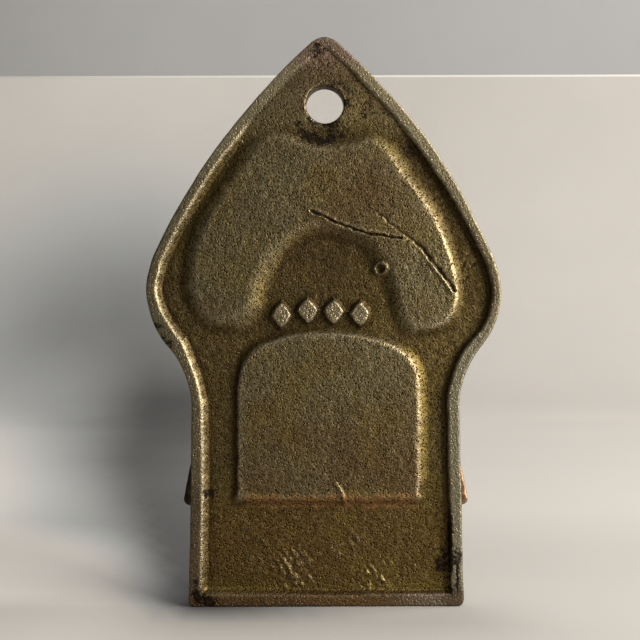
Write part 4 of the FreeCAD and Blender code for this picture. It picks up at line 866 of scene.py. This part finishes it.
def build_lugs():
    """The plate's two hinge lugs, each a small soft-edged casting with a bored eye."""
    centre = (HINGE_Y, HINGE_LEVEL + FOOT_Z)
    profile, bore = lug_profile(centre), circle(centre, PIN_HOLE, 40)
    made = []
    for name, side in (("lug_left", 1), ("lug_right", -1)):
        inner, outer = sorted((side * LUG_INSIDE, side * (LUG_INSIDE + LUG_THICK)))
        points, faces = extruded(profile, bore, inner, outer)
        mesh = bpy.data.meshes.new(name + "_solid")
        mesh.from_pydata((points * MM).tolist(), [], faces)
        made.append(cast_copy(mesh, name, 0.2, 5, 0.05, 51 + side))
    return made


def build_jaw():
    """The front jaw: the CAD shape with the soft edges and uneven skin of a casting."""
    return cast_copy(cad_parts["front_jaw"].data.copy(), "cast_jaw", 0.3, 4, 0.09, 61)


# ---- spring

WIRE_RADIUS = 0.6
COIL_RADIUS, COIL_PITCH, COIL_START = 2.3, 1.32, 2.4
PLATE_LEAN, THUMB_LEAN = math.radians(17.3), math.radians(6.0)
LEG_LENGTH = 14.0
BEND = 1.3
TUBE_SIDES, TUBE_END = 14, 0.8


def turned_corner(before, corner, after, reach):
    """Points of a small smooth bend that replaces a sharp corner."""
    a, b = (corner + (end - corner) / np.linalg.norm(end - corner) * reach for end in (before, after))
    t = np.linspace(0, 1, 9)[:, None]
    return (1 - t) ** 2 * a + 2 * t * (1 - t) * corner + t**2 * b


def straight(a, b, spacing):
    count = max(2, int(np.linalg.norm(b - a) / spacing))
    t = np.linspace(0, 1, count)[:, None]
    return a * (1 - t) + b * t


def spring_half():
    """The wire's centre line about the pin, from the bridge's middle to the end of one outer leg."""
    sweep = 9 * math.pi - PLATE_LEAN - THUMB_LEAN
    rise = np.array((0, -math.sin(THUMB_LEAN), math.cos(THUMB_LEAN)))
    lean = np.array((0, math.cos(THUMB_LEAN), math.sin(THUMB_LEAN)))
    root = np.array((COIL_START, 0, 0)) - COIL_RADIUS * lean
    top = root + LEG_LENGTH * rise
    middle = top * (0, 1, 1)
    bend = turned_corner(middle, top, root, BEND)
    turned = sweep * np.linspace(0, 1, 190)
    angle = math.pi + THUMB_LEAN + turned
    across = COIL_START + COIL_PITCH * turned / (2 * math.pi)
    helix = np.stack([across, COIL_RADIUS * np.cos(angle), COIL_RADIUS * np.sin(angle)], 1)
    leg_end = helix[-1] + LEG_LENGTH * np.array((0, math.sin(PLATE_LEAN), math.cos(PLATE_LEAN)))
    runs = [straight(middle, bend[0], 0.5)[:-1], bend, straight(bend[-1], root, 0.6)[1:-1], helix]
    return np.vstack(runs + [straight(helix[-1], leg_end, 0.6)[1:]])


def tube(path, radius):
    """A round tube along a path, a little narrower at its two ends."""
    tangents = np.gradient(path, axis=0)
    tangents /= np.linalg.norm(tangents, axis=1)[:, None]
    sizes = np.full(len(path), radius)
    sizes[[0, -1]] *= TUBE_END
    angles = np.arange(TUBE_SIDES)[:, None] / TUBE_SIDES * 2 * math.pi
    side = np.cross(tangents[0], (0.3, 0.5, 0.8))
    rings = []
    for at, along, size in zip(path, tangents, sizes):
        side = side - along * (side @ along)
        side /= np.linalg.norm(side)
        rings.append(at + size * (np.cos(angles) * side + np.sin(angles) * np.cross(along, side)))
    last = (len(path) - 1) * TUBE_SIDES
    faces = []
    for first in range(0, last, TUBE_SIDES):
        faces += side_faces(first, first + TUBE_SIDES, TUBE_SIDES, False).tolist()
    faces += [list(range(TUBE_SIDES))[::-1], list(range(last, last + TUBE_SIDES))]
    return np.vstack(rings), faces


def build_spring():
    """One wire: outer leg, coil, bridge, coil, outer leg."""
    half = spring_half()
    path = np.vstack([half[1:][::-1] * (-1, 1, 1), half])
    path += (0, HINGE_Y, HINGE_LEVEL + FOOT_Z)
    points, faces = tube(path, WIRE_RADIUS)
    return new_mesh("wire_spring", points, faces)


# ---- materials


class Shade:
    """A node material around one Principled shader, with short calls for the nodes that drive it."""

    def __init__(self, name):
        self.material = bpy.data.materials.new(name)
        self.material.use_nodes = True
        self.tree = self.material.node_tree
        self.place = self.node("TexCoord").outputs["Object"]
        self.colour = None

    def plug(self, socket, value):
        if isinstance(value, bpy.types.NodeSocket):
            self.tree.links.new(value, socket)
        else:
            socket.default_value = value

    def node(self, kind, inputs=(), **settings):
        made = self.tree.nodes.new("ShaderNode" + kind)
        for key, value in settings.items():
            setattr(made, key, value)
        for key, value in dict(inputs).items():
            self.plug(made.inputs[key], value)
        return made

    def finished(self, **values):
        """The material, with its colour and the given values on the shader's own sockets."""
        for key, value in {"Base Color": self.colour, **values}.items():
            self.plug(self.tree.nodes["Principled BSDF"].inputs[key], value)
        return self.material

    def mask(self, name):
        return self.node("Attribute", attribute_name=name).outputs["Fac"]

    def noise(self, size_mm, detail=2.0, roughness=0.55, seed=0.0):
        inputs = {"Vector": self.place, "W": seed, "Scale": 1 / (size_mm * MM), "Detail": detail}
        inputs["Roughness"] = roughness
        return self.node("TexNoise", inputs, noise_dimensions="4D").outputs["Fac"]

    def cells(self, size_mm):
        inputs = {"Vector": self.place, "Scale": 1 / (size_mm * MM)}
        return self.node("TexVoronoi", inputs).outputs["Distance"]

    def between(self, value, low, high, start=0.0, end=1.0):
        """A smooth step from start to end as the value goes from low to high."""
        names = ("Value", "From Min", "From Max", "To Min", "To Max")
        inputs = zip(names, (value, low, high, start, end))
        return self.node("MapRange", inputs, interpolation_type="SMOOTHSTEP").outputs["Result"]

    def math(self, operation, a, b, clamp=False):
        return self.node("Math", {0: a, 1: b}, operation=operation, use_clamp=clamp).outputs[0]

    def times(self, a, b):
        return self.math("MULTIPLY", a, b)

    def mix(self, share, a, b):
        """Colour a, turning into b as the share goes from 0 to 1."""
        a, b = (c if isinstance(c, bpy.types.NodeSocket) else (*c, 1.0) for c in (a, b))
        return self.node("Mix", {"Factor": share, "A": a, "B": b}, data_type="RGBA").outputs["Result"]

    def coat(self, share, over):
        """Lay a colour over the one so far, by a share from 0 to 1."""
        self.colour = self.mix(share, self.colour, over)

    def bump(self, height, distance_mm, strength, under=None):
        inputs = {"Height": height, "Distance": distance_mm * MM, "Strength": strength}
        if under is not None:
            inputs["Normal"] = under
        return self.node("Bump", inputs).outputs["Normal"]


def plated_casting():
    """Worn plating over bronze: grey-green on the rim, beige on the pads, olive in the hollows, with
    painted highlights, glints and shade laid over.
    """
    s = Shade("plated_casting_look")
    grit = s.noise(0.21, 2.0, 0.6)
    sand = s.noise(0.37, 2.0, 0.55, 4.0)
    light = s.between(s.math("ADD", s.times(grit, 0.5), s.times(sand, 0.5)), 0.34, 0.60)
    smoother = s.between(sand, 0.2, 0.8)
    pit = s.between(s.cells(0.52), 0.22, 0.40, 1.0, 0.0)
    pit = s.times(pit, s.between(s.noise(1.3, 2.0, 0.5, 13.0), 0.32, 0.48, 0.3, 1.0))
    green_pad = s.mix(light, (0.064, 0.050, 0.018), (0.178, 0.146, 0.074))
    warm_pad = s.mix(light, (0.044, 0.028, 0.009), (0.138, 0.094, 0.041))
    pad = s.mix(s.mask("warm"), green_pad, warm_pad)
    field = s.mix(light, (0.034, 0.023, 0.006), (0.126, 0.089, 0.032))
    low_field = s.mix(light, (0.032, 0.019, 0.004), (0.140, 0.088, 0.025))
    patch = s.times(s.math("SUBTRACT", s.noise(7.0, 3.0, 0.6, 9.0), 0.5), 0.7)
    s.colour = s.mix(s.mask("lower"), field, low_field)
    s.coat(s.math("ADD", s.mask("pads"), patch, True), pad)
    olive = s.between(s.noise(11.0, 2.0, 0.5, 21.0), 0.45, 0.65, 0.0, 0.35)
    # Olive patches, and the golden colour that partly stands in as a painted highlight.
    olive = s.math("MAXIMUM", olive, s.times(s.mask("gold_and_highlight"), 0.75))
    s.coat(olive, s.mix(light, (0.052, 0.036, 0.004), (0.200, 0.146, 0.032)))
    pale_and_highlight = s.mix(smoother, (0.104, 0.096, 0.062), (0.180, 0.167, 0.110))
    # Rim colour, paler where the mask also holds the painted highlight on the lower pad's left edge.
    rim = s.mix(s.mask("pale_and_highlight"), s.mix(smoother, (0.088, 0.075, 0.040), (0.165, 0.143, 0.082)), pale_and_highlight)
    s.coat(s.math("MAXIMUM", s.mask("rim"), s.mask("pale_and_highlight")), rim)
    s.coat(s.times(s.mask("bare"), 0.5), (0.30, 0.250, 0.150))
    copper = s.times(s.mask("copper"), s.between(s.noise(2.2, 3.0, 0.6, 17.0), 0.3, 0.6, 0.45, 1.0))
    s.coat(copper, s.mix(light, (0.092, 0.056, 0.040), (0.240, 0.158, 0.110)))
    rust = s.times(s.mask("rust"), s.between(s.noise(1.6, 3.0, 0.6, 33.0), 0.3, 0.55, 0.6, 1.0))
    s.coat(rust, s.mix(light, (0.105, 0.053, 0.018), (0.31, 0.172, 0.064)))
    # Worn metal, and the painted highlight on the rim's left wall, in a light brass colour.
    s.coat(s.times(s.mask("wear_and_highlight"), s.between(grit, 0.35, 0.6, 0.08, 0.55)), (0.44, 0.355, 0.215))
    # Darker colour, with painted shade at the right shoulder's rim.
    s.coat(s.times(s.mask("dim_and_shade"), 0.5), (0.040, 0.024, 0.009))
    # Dirt in cracks, and painted shade in hollows, dips and round the marks.
    s.coat(s.times(s.mask("grime_and_shade"), 0.72), (0.036, 0.022, 0.006))
    holes = s.times(pit, s.math("SUBTRACT", 1.0, s.times(s.mask("rim"), 0.7)))
    s.coat(holes, (0.024, 0.014, 0.004))
    # Painted glints: small bright flecks standing in for light catching the grain.
    painted_glint = s.between(s.noise(0.34, 1.0, 0.5, 29.0), 0.66, 0.74)
    s.coat(s.times(painted_glint, 0.4), (0.45, 0.37, 0.22))
    # Black stains, and painted shade low on the right rim.
    ragged = s.times(s.math("SUBTRACT", s.noise(0.8, 3.0, 0.75, 25.0), 0.5), 2.2)
    soot_and_shade = s.between(s.math("ADD", s.mask("soot_and_shade"), ragged), 0.32, 0.85)
    soot_and_shade = s.times(soot_and_shade, s.between(s.mask("soot_and_shade"), 0.05, 0.35))
    s.coat(s.times(soot_and_shade, 0.93), (0.010, 0.007, 0.005))
    rough = s.between(sand, 0.3, 0.7, 0.38, 0.60)
    rough = s.math("SUBTRACT", rough, s.times(s.mask("wear_and_highlight"), 0.12))
    skin = s.bump(s.math("SUBTRACT", sand, s.times(pit, 0.5)), 0.12, 0.9)
    skin = s.bump(grit, 0.06, 0.9, skin)
    return s.finished(Metallic=0.95, Roughness=rough, Normal=skin)


def bronze_casting():
    """Dark coppery bronze with rubbed edges, painted shade in its creases and on the jaw's far left
    corner.
    """
    s = Shade("bronze_casting_look")
    grit = s.noise(0.6, 3.0, 0.6, 2.0)
    patch = s.between(s.noise(8.0, 4.0, 0.6, 5.0), 0.35, 0.65)
    s.colour = s.mix(grit, (0.038, 0.021, 0.012), (0.175, 0.104, 0.060))
    s.coat(patch, s.mix(grit, (0.066, 0.034, 0.019), (0.25, 0.146, 0.085)))
    s.coat(s.times(s.mask("wear_and_highlight"), 0.4), (0.40, 0.25, 0.15))
    # Painted shade in the creases.
    s.coat(s.times(s.mask("grime_and_shade"), 0.75), (0.04, 0.026, 0.014))
    # Painted shade on the jaw's far left corner.
    s.coat(s.times(s.mask("soot_and_shade"), 0.93), (0.012, 0.010, 0.010))
    skin = s.bump(s.noise(1.0, 2.0, 0.5, 3.0), 0.08, 0.6)
    skin = s.bump(grit, 0.05, 0.7, skin)
    return s.finished(Metallic=0.95, Roughness=s.between(patch, 0.0, 1.0, 0.52, 0.38), Normal=skin)


def steel(name, dark, bright, size_mm, roughness):
    """Dull steel with small stains."""
    s = Shade(name)
    # Only the steel's own stains here, no painted shade.
    stain_and_shade = s.between(s.noise(size_mm, 4.0, 0.65), 0.35, 0.65)
    s.colour = s.mix(stain_and_shade, dark, bright)
    rough = s.between(stain_and_shade, 0.0, 1.0, roughness + 0.14, roughness)
    skin = s.bump(s.noise(0.25, 2.0, 0.5, 7.0), 0.02, 0.5)
    return s.finished(Metallic=1.0, Roughness=rough, Normal=skin)


def paper(name, lit, shaded):
    """Matt whitish studio paper, a little mottled, as bright as its painted light says and cooler where
    it holds painted shade.
    """
    s = Shade(name)
    fleck = s.between(s.noise(60.0, 3.0, 0.5), 0.3, 0.7, -0.007, 0.007)
    full = s.mix(s.mask("shade"), lit, shaded)
    s.colour = s.mix(s.math("ADD", s.mask("tone_and_painted_light"), fleck, True), (0.0, 0.0, 0.0), full)
    return s.finished(Roughness=0.85)


# ---- stage, lights and camera

STAGE_HALF, STAGE_FRONT, STAGE_BACK, STAGE_TURN, STAGE_TOP = 6.0, 6.0, -0.72, 0.28, 0.2295
WALL_Y, CUT_EDGE = -1.0, 0.003
# Where the painted shadow's round blob sits on the backdrop, and its size, in metres.
SHADOW_BLOB_AT, SHADOW_BLOB_RADIUS = (0.20, -0.62, -0.01), 0.165
CAMERA_AT, CAMERA_AIM, CAMERA_ROLL = (0.00102, 0.1680, -0.0473), (0.00102, 0.0, -0.0413), -0.16
LIGHTS_AIM = (0, 0, -0.04)
# The line that the painted shadow's wedge follows across the floor, as x and y in metres.
SHADE_PATH = np.array([
    (0.024, 0.0), (0.040, -0.058), (0.056, -0.12), (0.080, -0.225), (0.118, -0.45), (0.150, -0.72),
])


def ribbon(name, profile, tone_and_painted_light):
    """A long sheet along x from a side profile in (y, z), in metres, finer near the clip."""
    x = STAGE_HALF * np.sinh(np.linspace(-5, 5, 161)) / math.sinh(5)
    points = np.array([(a, y, z) for a in x for y, z in profile])
    n = len(profile)
    first = (np.arange(len(x) - 1)[:, None] * n + np.arange(n - 1)).ravel()
    faces = np.stack([first, first + 1, first + n + 1, first + n], 1).tolist()
    tones_and_painted_light, shade = tone_and_painted_light(*points.T)
    return new_mesh(name, points / MM, faces, {"tone_and_painted_light": tones_and_painted_light, "shade": shade})


def paper_tone_and_painted_light(x, y):
    """The paper's brightness with painted light and shade: lighter on the side away from the window,
    darker close to the clip, with a painted shadow at the foot and the floor's bright patches painted
    dimmer.
    """
    far = 0.555 + 0.265 * smooth(x, -0.10, 0.30)
    near = 0.43 + 0.26 * smooth(x, 0.0, 0.05)
    tone_and_painted_light = far + (near - far) * smooth(y, -0.50, -0.10)
    # Painted light lifting the floor behind the clip.
    tone_and_painted_light *= 1 + 0.17 * smooth(-y, 0.03, 0.12) * smooth(y, -0.52, -0.44)
    # Painted shadow in front of the clip's foot, and painted shade beside it on the left.
    tone_and_painted_light *= 1 - 0.22 * bump(y - 0.006, 0.010) * smooth(-np.abs(x), -0.045, -0.020)
    tone_and_painted_light *= 1 - 0.27 * smooth(y, -0.014, 0.0) * smooth(x, 0.0, 0.03)
    # A little painted light on the floor left of the foot.
    tone_and_painted_light *= 1 + 0.04 * bump(y + 0.03, 0.018) * smooth(x, 0.035, 0.06)
    # Painted dimming of the floor's bright patches, on the right under the backdrop light and in front
    # of the clip.
    tone_and_painted_light *= 1 - 0.75 * smooth(-x, 0.25, 0.46) * smooth(y, -0.50, -0.35)
    return tone_and_painted_light * (1 - 0.3 * smooth(y, 0.03, 0.12))


# Painted highlight: the backdrop's cut edge brighter than the paper round it.
def edge_highlight_tone(x, y, z):
    return 0 * x + 0.95, 0 * x


def sweep_painted_shadow(x, y, z):
    """The paper's brightness with three painted patches of the clip's soft shadow, and how shaded it is.
    """
    slant = x / (CAMERA_AT[1] - np.minimum(y, 0.1))
    # Painted shadow: a broad soft patch on the floor behind and left of the clip.
    broad = smooth(slant, 0.08, 0.15) * smooth(-slant, -0.42, -0.26) * smooth(y, -0.60, -0.42)
    broad *= smooth(-y - 0.12 * slant, 0.005, 0.055) * (0.36 + 0.12 * smooth(slant, 0.20, 0.24))
    # Painted shadow: a wedge running back from the clip's foot.
    off = x - np.interp(-y, -SHADE_PATH[:, 1], SHADE_PATH[:, 0])
    width = 0.008 + 0.075 * np.clip(-y, 0, 0.8)
    wedge = bump(np.minimum(off, 0) / 4 + np.maximum(off, 0), width) * smooth(x, -0.02, 0.02)
    wedge *= smooth(-y, -0.012, 0.0) * smooth(-z, -0.16, 0.06) * (1 - 0.75 * smooth(-y, 0.50, 0.66))
    # Painted shadow: a round soft blob on the backdrop, left of the clip.
    hollow = bump(np.linalg.norm(np.stack([x, y, z], 1) - SHADOW_BLOB_AT, axis=1), SHADOW_BLOB_RADIUS)
    kept = (1 - 0.84 * wedge) * (1 - 0.69 * hollow) * (1 - broad)
    return paper_tone_and_painted_light(x, y) * kept, smooth(1 - kept, 0.0, 0.5)


def wall_tone(x, y, z):
    return 0.66 + 0.11 * smooth(x, -0.10, 0.30), 0 * x


def build_stage():
    """A whitish floor that sweeps up into a low backdrop with a cut edge painted bright, with the clip's
    shadow and some light painted on the paper, and a greyer wall behind it.
    """
    floor_z = FOOT_Z * MM
    floor_y = [STAGE_FRONT, 2.0, 1.0, 0.5, 0.3, 0.2, *np.linspace(0.1, STAGE_BACK + STAGE_TURN, 55)[:-1]]
    floor = [(y, floor_z) for y in floor_y]
    turn = [
        (STAGE_BACK + STAGE_TURN * (1 - math.sin(angle)), floor_z + STAGE_TURN * (1 - math.cos(angle)))
        for angle in np.linspace(0, math.pi / 2, 32)
    ]
    rise = [(STAGE_BACK, z) for z in np.linspace(turn[-1][1], STAGE_TOP, 6)[1:]]
    cut = [(STAGE_BACK, STAGE_TOP), (STAGE_BACK - CUT_EDGE, STAGE_TOP + CUT_EDGE)]
    sweep = ribbon("sweep", floor + turn + rise, sweep_painted_shadow)
    edge = ribbon("sweep_edge", cut, edge_highlight_tone)
    wall = ribbon("wall", [(WALL_Y, -0.3), (WALL_Y, 1.6)], wall_tone)
    look = paper("sweep_paper", (1.02, 0.972, 0.908), (0.99, 1.015, 1.01))
    painted(sweep, look)
    painted(edge, look)
    painted(wall, paper("wall_paper", (1.0, 1.0, 0.99), (1.0, 1.0, 0.99)))


def area_light(name, at, aim, size, watts, colour):
    data = bpy.data.lights.new(name, "AREA")
    data.size = size
    data.energy = watts
    data.color = colour
    lamp = placed(name, data)
    lamp.location = at
    lamp.rotation_euler = (Vector(aim) - Vector(at)).to_track_quat("-Z", "Y").to_euler()


def build_lights():
    """A window light from the side, two weak fills from above, and one light for the backdrop."""
    area_light("window", (-0.40, 0.20, 0.10), LIGHTS_AIM, 0.34, 5.0, (1.0, 0.96, 0.90))
    area_light("overhead", (0.05, 0.45, 0.55), LIGHTS_AIM, 0.50, 0.8, (0.95, 0.97, 1.0))
    area_light("backdrop", (-0.75, -0.15, 0.55), (0.0, -0.7, 0.05), 0.5, 6.2, (1.0, 0.965, 0.92))
    area_light("behind", (0.25, -0.45, 0.50), LIGHTS_AIM, 0.40, 0.7, (1.0, 0.97, 0.93))
    world = bpy.data.worlds.new("room")
    world.use_nodes = True
    world.node_tree.nodes["Background"].inputs["Color"].default_value = (0.10, 0.098, 0.095, 1)
    bpy.context.scene.world = world


def build_camera():
    data = bpy.data.cameras.new("camera")
    data.lens = 50
    data.sensor_width = 36
    data.clip_start = 0.005
    camera = placed("camera", data)
    turn = (Vector(CAMERA_AIM) - Vector(CAMERA_AT)).to_track_quat("-Z", "Y").to_matrix()
    camera.location = CAMERA_AT
    camera.rotation_euler = (turn @ Matrix.Rotation(math.radians(CAMERA_ROLL), 3, "Z")).to_euler()
    bpy.context.scene.camera = camera
    bpy.context.scene.view_settings.view_transform = "Standard"


# ---- the whole picture


def build_clip():
    cast = plated_casting()
    bronze = bronze_casting()
    plate = build_plate()
    for piece in [plate] + build_lugs():
        painted(piece, cast)
        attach(piece, "plate")
        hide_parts("back_plate")
    jaw = build_jaw()
    painted(jaw, bronze)
    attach(jaw, "jaw")
    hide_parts("front_jaw")
    spring = build_spring()
    painted(spring, steel("spring_steel_look", (0.09, 0.075, 0.06), (0.36, 0.34, 0.31), 1.6, 0.34))
    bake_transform(spring)
    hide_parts("torsion_spring")
    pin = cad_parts["hinge_pin"]
    painted(pin, steel("pin_steel_look", (0.15, 0.135, 0.115), (0.46, 0.44, 0.41), 1.2, 0.38))


build_camera()
build_stage()
build_lights()
build_clip()
